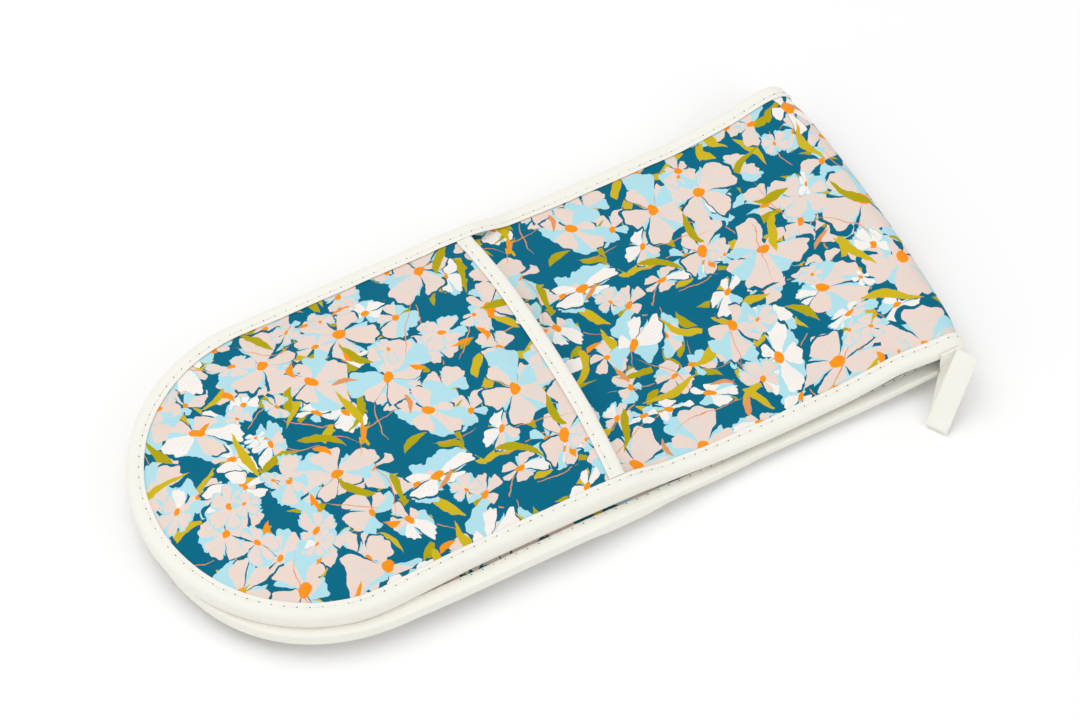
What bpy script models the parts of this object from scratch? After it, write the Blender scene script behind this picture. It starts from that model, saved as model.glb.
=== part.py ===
"""A double oven glove, folded in half and lying on a table.

A long padded band has a hand pocket at each rounded end. The band is folded across its middle,
so one half lies on the other with the pockets outside. The fold is at +X, the rounded ends are
at -X, and the lower pocket rests on the table at Z = 0, with the origin at its flat middle.
"""

import math

import bmesh
import bpy
from mathutils import Vector

# Driving dimensions, in metres.
BAND_WIDTH = 0.176  # across the band, over its binding
FOLDED_LENGTH = 0.388  # rounded ends to the outside of the fold
POCKET_DEPTH = 0.212  # rounded end to the bound edge of the pocket's mouth
ORIGIN_FROM_TIP = 0.128  # rounded end to the origin, under the lower pocket's flat middle
BINDING_WIDTH = 0.0085  # width of the binding on each face
BINDING_CLOTH = 0.0007  # folded binding, two layers of cotton
CLOTH = 0.0005  # printed cotton and lining
BAND_WADDING = 0.0036
POCKET_WADDING = 0.0022
SEWN_SHARE = 0.5  # share of its thickness that wadding keeps where it is sewn down
PUFF_RAMP = 0.012  # sewn-down edge to full thickness
HAND_SPACE = 0.0066  # room for a hand in a resting pocket, at its middle
HAND_RAMP = 0.0424  # sewn-down edge to full hand space
MOUTH_RAMP = 0.008  # length over which a pocket thickens toward its bound mouth
SLIT = 0.0010  # gap between the two halves at the pockets
SAG_SLIT = 0.0025  # the same gap where the band sags between pockets and fold
SAG_RUN = 0.056  # length of the slope from the pockets down to the sag
FOLD_RUN = 0.060  # length of the slope from the sag up to the fold
BEND_INNER_RADIUS = 0.0045  # inside radius of the folded band
TABLE_CLEAR = 0.0003  # between the sagging band and the table
GAP = 0.0003  # clearance between pieces that touch

TAPE_WIDTH = 0.0115
TAPE_THICKNESS = 0.0010
LOOP_REACH = 0.0345  # level distance from the loop's sewn top to its far end
LOOP_TURN = 36.0  # degrees from the glove's long side to the tape's run, outward
TAB_HEIGHT = 0.009  # sewn end of the loop, on the side of the fold
LEG_SPREAD = 0.011  # between the two tape legs, where they are sewn

ARC_STEPS = 12
BEND_STEPS = 8

# Worked out from the dimensions above.
HALF_WIDTH = BAND_WIDTH / 2
TIP_X = -ORIGIN_FROM_TIP
ROUND_X = TIP_X + HALF_WIDTH
MOUTH_X = TIP_X + POCKET_DEPTH
LIP = BINDING_CLOTH + GAP  # what the binding takes up on each side of what it covers
BOUND = BINDING_WIDTH + 2 * GAP  # edge strip that the binding covers, with its clearance
BAND_SKINS = 2 * CLOTH + 2 * GAP
BAND_THICKNESS = BAND_SKINS + BAND_WADDING
POCKET_THICKNESS = BAND_SKINS + POCKET_WADDING
BOUND_BAND = BAND_SKINS + SEWN_SHARE * BAND_WADDING + 2 * LIP
HALF_STACK = SLIT / 2 + BAND_THICKNESS + HAND_SPACE + POCKET_THICKNESS
CENTRE_Z = HALF_STACK  # height of the slit between the halves, at the pockets and at the fold
SAG_Z = TABLE_CLEAR + SAG_SLIT / 2 + max(BAND_THICKNESS, BOUND_BAND)
BEND_X = TIP_X + FOLDED_LENGTH - BEND_INNER_RADIUS - max(BAND_THICKNESS, BOUND_BAND)
BAND_END_X = BEND_X - GAP
RINGS = (LIP, BOUND, BOUND + PUFF_RAMP, BOUND + 0.65 * HAND_RAMP, BOUND + HAND_RAMP, HALF_WIDTH)

# Colours: linear RGB, then roughness.
TEAL_PRINT = ((0.015, 0.150, 0.250), 0.75)
BLUSH_PRINT = ((0.820, 0.640, 0.560), 0.75)
CREAM_COTTON = ((0.880, 0.860, 0.760), 0.80)
CREAM_BINDING = ((0.900, 0.890, 0.800), 0.70)
WHITE_WADDING = ((0.800, 0.800, 0.780), 0.95)


def smooth(value):
    """0 below 0, 1 above 1, and an even S between."""
    value = min(max(value, 0.0), 1.0)
    return value * value * (3 - 2 * value)


# The glove's shape: heights of each face above the slit's middle surface.


def edge_distance(x, y):
    """Distance inward from the band's outline."""
    across = math.hypot(x - ROUND_X, y) if x < ROUND_X else abs(y)
    return HALF_WIDTH - across


def sag_share(x):
    """How far the band has sagged: 0 at the pockets, 1 in the sag."""
    return smooth((x - MOUTH_X) / SAG_RUN)


def fold_share(x):
    """How far the band has risen to its fold: 0 in the sag, 1 at the fold."""
    return smooth((x - (BEND_X - FOLD_RUN)) / FOLD_RUN)


def slit_level(x):
    return CENTRE_Z - (CENTRE_Z - SAG_Z) * (sag_share(x) - fold_share(x))


def half_slit(x):
    pockets_to_sag = SLIT / 2 + (SAG_SLIT - SLIT) / 2 * sag_share(x)
    return pockets_to_sag + (BEND_INNER_RADIUS - SAG_SLIT / 2) * fold_share(x)


def puff(distance):
    return smooth((distance - BOUND) / PUFF_RAMP)


def wadding_thickness(full, distance):
    return full * (SEWN_SHARE + (1 - SEWN_SHARE) * puff(distance))


def band_heights(distance):
    """Heights of the band's faces: inner panel, wadding and outer panel, each low and high."""
    inner = LIP * (1 - puff(distance))
    wadding = inner + CLOTH + GAP
    outer = wadding + wadding_thickness(BAND_WADDING, distance) + GAP
    return {
        "inner": (inner, inner + CLOTH),
        "wadding": (wadding, outer - GAP),
        "outer": (outer, outer + CLOTH),
    }


def hand_space(x, distance):
    """Gap between the band and the pocket's lining, which leaves room for the mouth's binding."""
    at_mouth = smooth((x - (MOUTH_X - BOUND - 2 * MOUTH_RAMP)) / MOUTH_RAMP)
    low = GAP + LIP * at_mouth
    high = HAND_SPACE - LIP * at_mouth
    return low + (high - low) * smooth((distance - BOUND) / HAND_RAMP)


def pocket_heights(x, distance):
    """Heights of the pocket's faces: lining, wadding and panel, each low and high."""
    lining = band_heights(distance)["outer"][1] + hand_space(x, distance)
    wadding = lining + CLOTH + GAP
    panel = wadding + wadding_thickness(POCKET_WADDING, distance) + GAP
    return {
        "lining": (lining, lining + CLOTH),
        "wadding": (wadding, panel - GAP),
        "panel": (panel, panel + CLOTH),
    }


def bound_height(x):
    """Overall height of the bound edge, from inner lip to outer lip."""
    pocket_top = pocket_heights(min(x, MOUTH_X), LIP)["panel"][1] + LIP
    band_top = band_heights(LIP)["outer"][1] + LIP
    step_down = smooth((x - MOUTH_X - GAP) / MOUTH_RAMP)
    return pocket_top + (band_top - pocket_top) * step_down


def half_point(side, x, y, height):
    """A point of the upper half (side 1) or the lower half (side -1)."""
    return Vector((x, y, slit_level(x) + side * (half_slit(x) + height)))


def bend_point(angle, y, height):
    """A point of the fold: angle 0 is the fold's outside, and 90 degrees its top."""
    radius = BEND_INNER_RADIUS + height
    return Vector(
        (BEND_X + radius * math.cos(angle), y, CENTRE_Z + radius * math.sin(angle))
    )


# Stations along the outline: front side, rounded end, back side.


def spread(start, end, steps):
    return [start + (end - start) * i / steps for i in range(steps)]


def side_positions(end_x):
    """Places along a straight side, from the rounded end to end_x."""
    mouth_lift = MOUTH_X - BOUND - 2 * MOUTH_RAMP
    places = spread(ROUND_X, mouth_lift, 2)
    places += [mouth_lift, mouth_lift + MOUTH_RAMP, MOUTH_X - LIP]
    if end_x > MOUTH_X:
        places += spread(MOUTH_X + GAP, MOUTH_X + GAP + MOUTH_RAMP, 2)
        places += spread(MOUTH_X + GAP + MOUTH_RAMP, MOUTH_X + SAG_RUN, 3)
        places += spread(MOUTH_X + SAG_RUN, BEND_X - FOLD_RUN, 1)
        places += spread(BEND_X - FOLD_RUN, end_x, 4) + [end_x]
    return places


def stations(end_x):
    """(x, side or None, angle or None) along the outline from the front's end to the back's end."""
    sides = side_positions(end_x)
    front = [(x, -1, None) for x in reversed(sides)]
    turns = [math.pi * (i / ARC_STEPS) for i in range(1, ARC_STEPS)]
    return front + [(None, None, turn) for turn in turns] + [(x, 1, None) for x in sides]


def ring_point(station, distance):
    """The plan point this far inside the outline at a station."""
    x, side, turn = station
    across = HALF_WIDTH - distance
    if turn is None:
        return x, side * across
    return ROUND_X - across * math.sin(turn), -across * math.cos(turn)


# Mesh helpers.


def material(name, look):
    found = bpy.data.materials.get(name)
    if found:
        return found
    colour, roughness = look
    made = bpy.data.materials.new(name)
    made.use_nodes = True
    shader = made.node_tree.nodes["Principled BSDF"]
    shader.inputs["Base Color"].default_value = (*colour, 1)
    shader.inputs["Roughness"].default_value = roughness
    shader.inputs["Metallic"].default_value = 0
    return made


def finish(bm, name, axis_empty, look):
    """Makes the mesh an object on its body's axis empty, with its faces pointing out."""
    bmesh.ops.remove_doubles(bm, verts=bm.verts, dist=1e-6)
    bmesh.ops.recalc_face_normals(bm, faces=bm.faces)
    mesh = bpy.data.meshes.new(name)
    bm.to_mesh(mesh)
    bm.free()
    mesh.shade_smooth()
    mesh.set_sharp_from_angle(angle=math.radians(40))
    mesh.materials.append(material(name + "_material", look))
    piece = bpy.data.objects.new(name, mesh)
    bpy.context.scene.collection.objects.link(piece)
    if axis_empty:
        piece.parent = axis_empty
        piece.location = -Vector(axis_empty["place"])
    return piece


def thicken(bm, low, high):
    """Extrudes a flat plan mesh and lays its two faces on the surfaces low(x, y) and high(x, y)."""
    made = bmesh.ops.extrude_face_region(bm, geom=bm.faces[:])
    raised = {v for v in made["geom"] if isinstance(v, bmesh.types.BMVert)}
    for vert in bm.verts:
        surface = high if vert in raised else low
        vert.co = surface(vert.co.x, vert.co.y)


def half_layer(name, axis_empty, look, side, end_x, heights):
    """One layer of a half: heights(x, y) gives its (low, high)."""
    bm = bmesh.new()
    rows = [
        [bm.verts.new((*ring_point(station, ring), 0)) for ring in RINGS]
        for station in stations(end_x)
    ]
    for row, following in zip(rows, rows[1:]):
        for j in range(len(RINGS) - 1):
            bm.faces.new((row[j], row[j + 1], following[j + 1], following[j]))
    bmesh.ops.remove_doubles(bm, verts=bm.verts, dist=1e-6)
    thicken(
        bm,
        lambda x, y: half_point(side, x, y, heights(x, y)[0]),
        lambda x, y: half_point(side, x, y, heights(x, y)[1]),
    )
    return finish(bm, name, axis_empty, look)


def columns():
    """Places across the band, front to back."""
    front = [-(HALF_WIDTH - ring) for ring in RINGS]
    return front + [-y for y in reversed(front[:-1])]


def bend_layer(name, axis_empty, look, layer):
    """One layer of the fold, a half turn from the lower half to the upper half."""
    bm = bmesh.new()
    angles = [math.pi * (i / BEND_STEPS - 0.5) for i in range(BEND_STEPS + 1)]
    rows = [[bm.verts.new((angle, y, 0)) for y in columns()] for angle in angles]
    for row, following in zip(rows, rows[1:]):
        for j in range(len(row) - 1):
            bm.faces.new((row[j], row[j + 1], following[j + 1], following[j]))

    def face(which):
        def surface(angle, y):
            return bend_point(angle, y, band_heights(HALF_WIDTH - abs(y))[layer][which])

        return surface

    thicken(bm, face(0), face(1))
    return finish(bm, name, axis_empty, look)


def binding_profile(height):
    """The folded binding's section: (distance from the edge, height), round an edge."""
    corner = 2 * BINDING_CLOTH
    middle = corner / 3
    top = height
    return [
        (BINDING_WIDTH, 0),
        (corner, 0),
        (middle, middle),
        (0, corner),
        (0, top - corner),
        (middle, top - middle),
        (corner, top),
        (BINDING_WIDTH, top),
        (BINDING_WIDTH, top - BINDING_CLOTH),
        (BINDING_CLOTH, top - BINDING_CLOTH),
        (BINDING_CLOTH, BINDING_CLOTH),
        (BINDING_WIDTH, BINDING_CLOTH),
    ]


def sweep(name, axis_empty, look, sections):
    """Joins a row of equal sections into one closed solid with flat ends."""
    bm = bmesh.new()
    rings = [[bm.verts.new(point) for point in section] for section in sections]
    count = len(rings[0])
    for ring, following in zip(rings, rings[1:]):
        for i in range(count):
            j = (i + 1) % count
            bm.faces.new((ring[i], ring[j], following[j], following[i]))
    for end in (rings[0], rings[-1]):
        bm.faces.new(end)
    return finish(bm, name, axis_empty, look)


def edge_binding(name, axis_empty, side):
    sections = []
    for station in stations(BAND_END_X):
        section = []
        for distance, height in binding_profile(bound_height(ring_point(station, 0)[0])):
            section.append(half_point(side, *ring_point(station, distance), height))
        sections.append(section)
    return sweep(name, axis_empty, CREAM_BINDING, sections)


def bend_binding(name, axis_empty, y_side):
    sections = []
    for i in range(BEND_STEPS + 1):
        angle = math.pi * (i / BEND_STEPS - 0.5)
        sections.append(
            [
                bend_point(angle, y_side * (HALF_WIDTH - distance), height)
                for distance, height in binding_profile(BOUND_BAND)
            ]
        )
    return sweep(name, axis_empty, CREAM_BINDING, sections)


def mouth_binding(name, axis_empty, side):
    """Binding round the pocket's mouth, between the two side bindings."""
    sections = []
    inside = [y for y in columns() if abs(y) <= HALF_WIDTH - BOUND + GAP]
    for y in inside:
        distance = HALF_WIDTH - abs(y)
        faces = pocket_heights(MOUTH_X, distance)
        low = faces["lining"][0] - LIP
        height = faces["panel"][1] + LIP - low
        sections.append(
            [
                half_point(side, MOUTH_X - inward, y, low + up)
                for inward, up in binding_profile(height)
            ]
        )
    return sweep(name, axis_empty, CREAM_BINDING, sections)


# Sub-parts.


def make_band(half, axis_empty, side):
    looks = {"inner": BLUSH_PRINT, "wadding": WHITE_WADDING, "outer": TEAL_PRINT}
    names = {"inner": "band_inner_panel", "wadding": "band_wadding", "outer": "band_outer_panel"}
    for layer, look in looks.items():
        half_layer(
            f"{half}_{names[layer]}",
            axis_empty,
            look,
            side,
            BAND_END_X,
            lambda x, y, layer=layer: band_heights(edge_distance(x, y))[layer],
        )
    edge_binding(f"{half}_edge_binding", axis_empty, side)


def make_pocket(half, axis_empty, side):
    looks = {"lining": CREAM_COTTON, "wadding": WHITE_WADDING, "panel": TEAL_PRINT}
    for layer, look in looks.items():
        half_layer(
            f"{half}_pocket_{layer}",
            axis_empty,
            look,
            side,
            MOUTH_X - LIP,
            lambda x, y, layer=layer: pocket_heights(x, edge_distance(x, y))[layer],
        )
    mouth_binding(f"{half}_mouth_binding", axis_empty, side)


def make_fold(axis_empty):
    bend_layer("fold_inner_panel", axis_empty, BLUSH_PRINT, "inner")
    bend_layer("fold_wadding", axis_empty, WHITE_WADDING, "wadding")
    bend_layer("fold_outer_panel", axis_empty, TEAL_PRINT, "outer")
    bend_binding("fold_front_binding", axis_empty, -1)
    bend_binding("fold_back_binding", axis_empty, 1)


def tab_top():
    """Top of the loop's sewn end, on the front side of the fold."""
    side_y = -HALF_WIDTH - GAP - TAPE_THICKNESS / 2
    return Vector((BEND_X, side_y, CENTRE_Z + BEND_INNER_RADIUS + BOUND_BAND))


def make_loop_tab(axis_empty):
    """The loop's sewn end: tape flat against the side of the fold's front binding."""
    top = tab_top()
    low = top - Vector((TAPE_WIDTH / 2, TAPE_THICKNESS / 2, TAB_HEIGHT))
    high = top + Vector((TAPE_WIDTH / 2, TAPE_THICKNESS / 2, 0))
    sections = []
    for x in (low.x, high.x):
        corners = ((low.y, low.z), (high.y, low.z), (high.y, high.z), (low.y, high.z))
        sections.append([(x, y, z) for y, z in corners])
    return sweep("loop_sewn_end", axis_empty, CREAM_BINDING, sections)


def loop_start():
    """Top of the hanging tape, just clear of its sewn end."""
    turn = math.radians(LOOP_TURN)
    clear = TAPE_THICKNESS / 2 + GAP + math.cos(turn) * TAPE_WIDTH / 2
    return tab_top() + Vector((TAPE_WIDTH / 2, -clear, 0))


def loop_route(start):
    """Middle line of the tape: (outward reach, height) from the upper seam to the lower one."""
    top_z = start.z
    turn = 1.5 * TAPE_THICKNESS
    ground = TAPE_THICKNESS / 2 + TABLE_CLEAR
    return [
        (0.0, top_z),
        (0.06 * LOOP_REACH, top_z - 0.02 * top_z),
        (0.5 * LOOP_REACH, 0.52 * top_z + turn),
        (0.85 * LOOP_REACH, ground + 2.6 * turn),
        (LOOP_REACH - turn, ground + 2 * turn),
        (LOOP_REACH, ground + turn),
        (LOOP_REACH - turn, ground),
        (0.85 * LOOP_REACH, ground + 0.3 * turn),
        (0.5 * LOOP_REACH, 0.28 * top_z),
        (0.08 * LOOP_REACH, top_z - LEG_SPREAD),
    ]


def make_loop(axis_empty):
    """The hanging loop: one tape from seam to seam, folded at its far end."""
    turn = math.radians(LOOP_TURN)
    outward = Vector((-math.cos(turn), -math.sin(turn), 0))
    across = Vector((math.sin(turn), -math.cos(turn), 0))
    start = loop_start()
    route = [Vector((reach, 0, z)) for reach, z in loop_route(start)]
    sections = []
    for i, point in enumerate(route):
        along = route[min(i + 1, len(route) - 1)] - route[max(i - 1, 0)]
        off = Vector((-along.z, 0, along.x)).normalized() * (TAPE_THICKNESS / 2)
        section = []
        for edge, face in ((-1, -1), (1, -1), (1, 1), (-1, 1)):
            middle = point + face * off
            place = start + outward * middle.x + across * (edge * TAPE_WIDTH / 2)
            section.append((place.x, place.y, middle.z))
        sections.append(section)
    return sweep("hanging_loop", axis_empty, CREAM_BINDING, sections)


def axis(name, place, parent=None):
    """An empty on a joint's axis. Its place is kept for the pieces that hang on it."""
    empty = bpy.data.objects.new(name, None)
    empty.empty_display_size = 0.02
    bpy.context.scene.collection.objects.link(empty)
    empty["place"] = list(place)
    empty.location = place
    if parent:
        empty.parent = parent
        empty.location = Vector(place) - Vector(parent["place"])
    return empty


def bend_axis(side):
    """Where a quarter turn lays half of the bend out flat at its own length."""
    radius = BEND_INNER_RADIUS + BAND_THICKNESS / 2
    reach = radius * math.pi / 4
    return Vector((BEND_X + reach, 0, CENTRE_Z + side * reach))


def main():
    for obj in list(bpy.data.objects):
        bpy.data.objects.remove(obj, do_unlink=True)
    pocket_z = half_slit(ROUND_X) + band_heights(HALF_WIDTH)["outer"][1] + HAND_SPACE / 2
    pocket_x = TIP_X + BOUND
    fold = axis("fold_lower_axis", bend_axis(-1))
    upper = axis("fold_upper_axis", bend_axis(1), fold)
    lower_pocket = axis("lower_pocket_axis", (pocket_x, 0, CENTRE_Z - pocket_z))
    upper_pocket = axis("upper_pocket_axis", (pocket_x, 0, CENTRE_Z + pocket_z), upper)
    tab = axis("loop_turn_axis", tab_top() - Vector((0, 0, TAB_HEIGHT / 2)), upper)
    loop = axis("loop_swing_axis", loop_start(), tab)

    make_band("lower", None, -1)
    make_pocket("lower", lower_pocket, -1)
    make_fold(fold)
    make_band("upper", upper, 1)
    make_pocket("upper", upper_pocket, 1)
    make_loop_tab(tab)
    make_loop(loop)


main()
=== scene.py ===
"""Double oven glove: printed, padded cotton with bound edges, folded in half on a table.

Each half is a padded band with a hand pocket on its outer side. Both halves' cloths run on round
the fold and meet on its middle line, so that they bend with it when the glove is opened out.
"""

import math

import bmesh
import bpy
import numpy as np
from bpy.props import FloatProperty, FloatVectorProperty, PointerProperty
from mathutils import Matrix, Vector
from mathutils.kdtree import KDTree


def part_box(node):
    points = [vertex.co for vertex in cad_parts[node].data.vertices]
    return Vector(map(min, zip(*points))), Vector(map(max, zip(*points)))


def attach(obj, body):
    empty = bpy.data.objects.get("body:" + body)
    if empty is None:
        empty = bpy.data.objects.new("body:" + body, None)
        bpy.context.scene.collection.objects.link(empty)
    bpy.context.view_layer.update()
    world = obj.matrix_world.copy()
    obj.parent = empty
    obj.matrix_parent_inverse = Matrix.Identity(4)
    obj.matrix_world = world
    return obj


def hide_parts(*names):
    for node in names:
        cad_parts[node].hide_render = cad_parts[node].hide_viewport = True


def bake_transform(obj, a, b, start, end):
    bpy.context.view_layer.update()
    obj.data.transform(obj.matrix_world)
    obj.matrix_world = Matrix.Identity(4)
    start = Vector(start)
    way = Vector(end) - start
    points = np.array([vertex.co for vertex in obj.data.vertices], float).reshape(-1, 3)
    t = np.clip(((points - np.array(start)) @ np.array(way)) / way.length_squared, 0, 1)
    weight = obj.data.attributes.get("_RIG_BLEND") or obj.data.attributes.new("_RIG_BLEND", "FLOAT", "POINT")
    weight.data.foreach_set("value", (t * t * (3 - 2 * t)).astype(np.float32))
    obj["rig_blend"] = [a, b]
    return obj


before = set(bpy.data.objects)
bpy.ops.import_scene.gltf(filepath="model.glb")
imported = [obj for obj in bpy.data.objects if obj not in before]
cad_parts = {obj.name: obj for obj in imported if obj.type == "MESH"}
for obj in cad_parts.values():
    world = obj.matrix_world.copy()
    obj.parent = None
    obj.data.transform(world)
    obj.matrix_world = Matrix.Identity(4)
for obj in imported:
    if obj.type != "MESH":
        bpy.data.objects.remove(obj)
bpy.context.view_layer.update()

bl_info = {
    "name": "Double Oven Glove",
    "version": (1, 0, 0),
    "blender": (4, 5, 0),
    "location": "View3D > Sidebar > Glove",
    "description": "Printed, padded and bound cloth pieces of a folded double oven glove",
    "category": "Add Mesh",
}

# Sizes of the real model, in metres.
GAP = 0.0003
CLOTH = 0.0005
BINDING_CLOTH = 0.0007
BINDING_WIDTH = 0.0085
BAND_WADDING = 0.0036
POCKET_WADDING = 0.0022
SEWN_SHARE = 0.5
PUFF_RAMP = 0.012
HAND_SPACE = 0.0066
HAND_RAMP = 0.0424
MOUTH_RAMP = 0.008
SLIT = 0.0010
SAG_SLIT = 0.0025
SAG_RUN = 0.056
FOLD_RUN = 0.060
BEND_INNER_RADIUS = 0.0045
TABLE_CLEAR = 0.0003
TAPE_WIDTH = 0.0115
TAPE_THICKNESS = 0.0010
LOOP_REACH = 0.0298
LOOP_TURN = math.radians(32.0)
TAB_HEIGHT = 0.009

# Places read from the loaded frame.
EDGE_LOW, EDGE_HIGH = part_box("lower_edge_binding")
HALF_WIDTH = EDGE_HIGH[1]
TIP_X = EDGE_LOW[0]
ROUND_X = TIP_X + HALF_WIDTH
MOUTH_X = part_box("lower_mouth_binding")[1][0]
BEND_X = EDGE_HIGH[0] + GAP
CENTRE_Z = sum(corner[2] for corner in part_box("fold_wadding")) / 2

LIP = BINDING_CLOTH + GAP
BOUND = BINDING_WIDTH + 2 * GAP
BAND_THICKNESS = 2 * CLOTH + 2 * GAP + BAND_WADDING
BOUND_BAND = 2 * CLOTH + 2 * GAP + SEWN_SHARE * BAND_WADDING + 2 * LIP
SAG_Z = TABLE_CLEAR + SAG_SLIT / 2 + max(BAND_THICKNESS, BOUND_BAND)
MID_RADIUS = BEND_INNER_RADIUS + BAND_THICKNESS / 2
FOLD_END = BEND_X + MID_RADIUS * math.pi / 2  # path position of the fold's middle line
SLIT_CLOSE = 0.00045  # each half's binding bulges this far into the slit
MEET_GAP = 0.00001  # between the halves' cloths on the fold's middle line
TUCK = 0.0022  # cloth edges stop this far inside the binding's outer face
INNER_BINDING_WIDTH = 0.0071  # width of the binding on the slit side
FLOOR_CLEAR = 0.0001
SPARE_CLOTH = 0.02  # the printed cloths are cut this much larger than the faces they cover
SETTLING_FRAMES = 24
MOST_RISE = 0.0024
MOST_SINK = 0.0014
EARLY_SAG = 0.034  # the edges begin to sag this far before the pockets' mouths
SPRING = 0.72  # padding keeps the band from sagging all the way
ROUND_TUCK = 0.0062  # how far the lower half's round end lies inside the upper's
BAND_SHIFT = 0.0014  # the band bends this far back between the mouths and the fold
SETTLING_STEP = 0.0032  # spacing of the points of a cloth that settles
MOUTH_ROWS = 105  # sections along a mouth's binding, the middle one shared by both pieces
STITCH_COVER = 0.72  # share of the pitch that the thread covers
STITCH_SINK = 0.00016  # stitches lie this far inside the binding's face
STITCH_CLEAR = 0.0004  # lowest height of a stitch's middle above the table
INNER_PRINT_SHIFT = (0.31, 0.17)  # where on the printed cloth each piece is cut
POCKET_PRINT_SHIFT = (0.113, 0.071)

# How much of the front draw and of the lower spread each place along the front has.
UPPER_FRONT = ((-0.06, 0.0), (0.0, 1.0), (0.09, 1.0), (0.13, 0.5), (0.16, 0.35), (0.21, 0.55))
LOWER_FRONT = (
    (-0.05, 0.85),
    (-0.01, 1.1),
    (0.06, 1.05),
    (0.09, 0.75),
    (0.124, 0.5),
    (0.15, 0.1),
    (0.20, 0.15),
    (0.24, 0.0),
)

EDGE_PLACES = {
    "fold": (BEND_X + MID_RADIUS, 0, CENTRE_Z),
    "lower": (BEND_X, 0, CENTRE_Z - MID_RADIUS),
    "upper": (BEND_X, 0, CENTRE_Z + MID_RADIUS),
}
SIDES = {"lower": -1, "upper": 1}


def srgb(red, green, blue):
    """Scene-linear colour of a printed or dyed shade given in 0 to 255."""
    shares = (value / 255 for value in (red, green, blue))
    return tuple(v / 12.92 if v <= 0.04045 else ((v + 0.055) / 1.055) ** 2.4 for v in shares)


def length_setting(name, description, default):
    return FloatProperty(
        name=name, description=description, default=default, min=0.0, unit="LENGTH", precision=5
    )


def colour_setting(name, description, shade):
    return FloatVectorProperty(
        name=name, description=description, default=srgb(*shade), subtype="COLOR", min=0, max=1
    )


class GloveSizes(bpy.types.PropertyGroup):
    stitch_pitch: length_setting("Stitch pitch", "Distance from one stitch to the next", 0.0058)
    stitch_inset: length_setting("Stitch inset", "From the binding's inner edge in", 0.0024)
    thread: length_setting("Thread thickness", "Width of the sewing thread", 0.00055)
    dimples: length_setting("Dimple depth", "How far the padded faces rise and sink", 0.0013)
    edge_draw: length_setting("Edge draw", "How far padding draws the upper edge in", 0.0020)
    front_draw: length_setting("Front draw", "Extra draw at the front of the mouth", 0.0026)
    lower_spread: length_setting("Lower spread", "How far the lower half shows", 0.0032)
    fold_bow: length_setting("Fold bow", "How far the fold's middle bulges", 0.0054)
    mouth_bow: length_setting("Mouth bow", "How far a pocket's mouth curves to the fold", 0.0020)
    mouth_lift: length_setting("Mouth lift", "How far the middle of a mouth gapes", 0.0022)
    weave_pitch: length_setting("Weave pitch", "Distance between the cotton's threads", 0.00042)


class GloveColours(bpy.types.PropertyGroup):
    ground: colour_setting("Ground", "Ground of the print", (0, 104, 132))
    blush: colour_setting("Blush petals", "Most petals", (234, 213, 202))
    white: colour_setting("White petals", "Lighter petals", (246, 238, 232))
    sky: colour_setting("Blue petals", "Pale petals behind the others", (176, 222, 232))
    leaf: colour_setting("Leaves", "Olive leaves", (176, 162, 8))
    mustard: colour_setting("Light leaves", "Mustard leaves", (205, 180, 30))
    centre: colour_setting("Flower centres", "Orange centres", (250, 148, 24))
    stem: colour_setting("Stems", "Fine stems", (226, 150, 92))
    binding: colour_setting("Binding", "Binding and loop", (243, 241, 231))
    lining: colour_setting("Lining", "Inside of the pockets", (240, 232, 208))
    wadding: colour_setting("Wadding", "Cotton wadding", (236, 234, 226))


def sizes():
    return bpy.context.scene.glove_sizes


def colours():
    return bpy.context.scene.glove_colours


# The glove's shape: heights above the slit's middle surface, at path position and side position.


def smooth(value):
    value = np.clip(value, 0.0, 1.0)
    return value * value * (3 - 2 * value)


def edge_distance(x, y):
    return HALF_WIDTH - np.where(x < ROUND_X, np.hypot(x - ROUND_X, y), np.abs(y))


def sag_share(x):
    return smooth((x - (MOUTH_X - EARLY_SAG)) / (SAG_RUN + EARLY_SAG))


def fold_share(x):
    return smooth((x - (BEND_X - FOLD_RUN)) / FOLD_RUN)


def slit_level(x):
    return CENTRE_Z - SPRING * (CENTRE_Z - SAG_Z) * (sag_share(x) - fold_share(x))


def half_slit(x):
    pockets_to_sag = SLIT / 2 + (SAG_SLIT - SLIT) / 2 * sag_share(x)
    return pockets_to_sag + (BEND_INNER_RADIUS - SAG_SLIT / 2) * fold_share(x)


def puff(distance):
    return smooth((distance - BOUND) / PUFF_RAMP)


def wadding_thickness(full, distance):
    return full * (SEWN_SHARE + (1 - SEWN_SHARE) * puff(distance))


def band_heights(distance):
    """Low and high faces of the band's inner cloth, wadding and outer cloth."""
    inner = LIP * (1 - puff(distance))
    wadding = inner + CLOTH + GAP
    outer = wadding + wadding_thickness(BAND_WADDING, distance) + GAP
    return {
        "inner": (inner, inner + CLOTH),
        "wadding": (wadding, outer - GAP),
        "outer": (outer, outer + CLOTH),
    }


def hand_space(x, distance):
    at_mouth = smooth((x - (MOUTH_X - BOUND - 2 * MOUTH_RAMP)) / MOUTH_RAMP)
    low = GAP + LIP * at_mouth
    high = HAND_SPACE - LIP * at_mouth
    return low + (high - low) * smooth((distance - BOUND) / HAND_RAMP)


def pocket_heights(x, distance):
    """Low and high faces of a pocket's lining, wadding and printed cloth."""
    lining = band_heights(distance)["outer"][1] + hand_space(x, distance)
    wadding = lining + CLOTH + GAP
    panel = wadding + wadding_thickness(POCKET_WADDING, distance) + GAP
    return {
        "lining": (lining, lining + CLOTH),
        "wadding": (wadding, panel - GAP),
        "panel": (panel, panel + CLOTH),
    }


def bound_height(x):
    """Height of the bound edge: over pocket and band, then over the band alone."""
    distance = np.full_like(x, LIP)
    pocket_top = pocket_heights(np.minimum(x, MOUTH_X), distance)["panel"][1] + LIP
    band_top = band_heights(distance)["outer"][1] + LIP
    return pocket_top + (band_top - pocket_top) * smooth((x - MOUTH_X - GAP) / 0.022)


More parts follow.
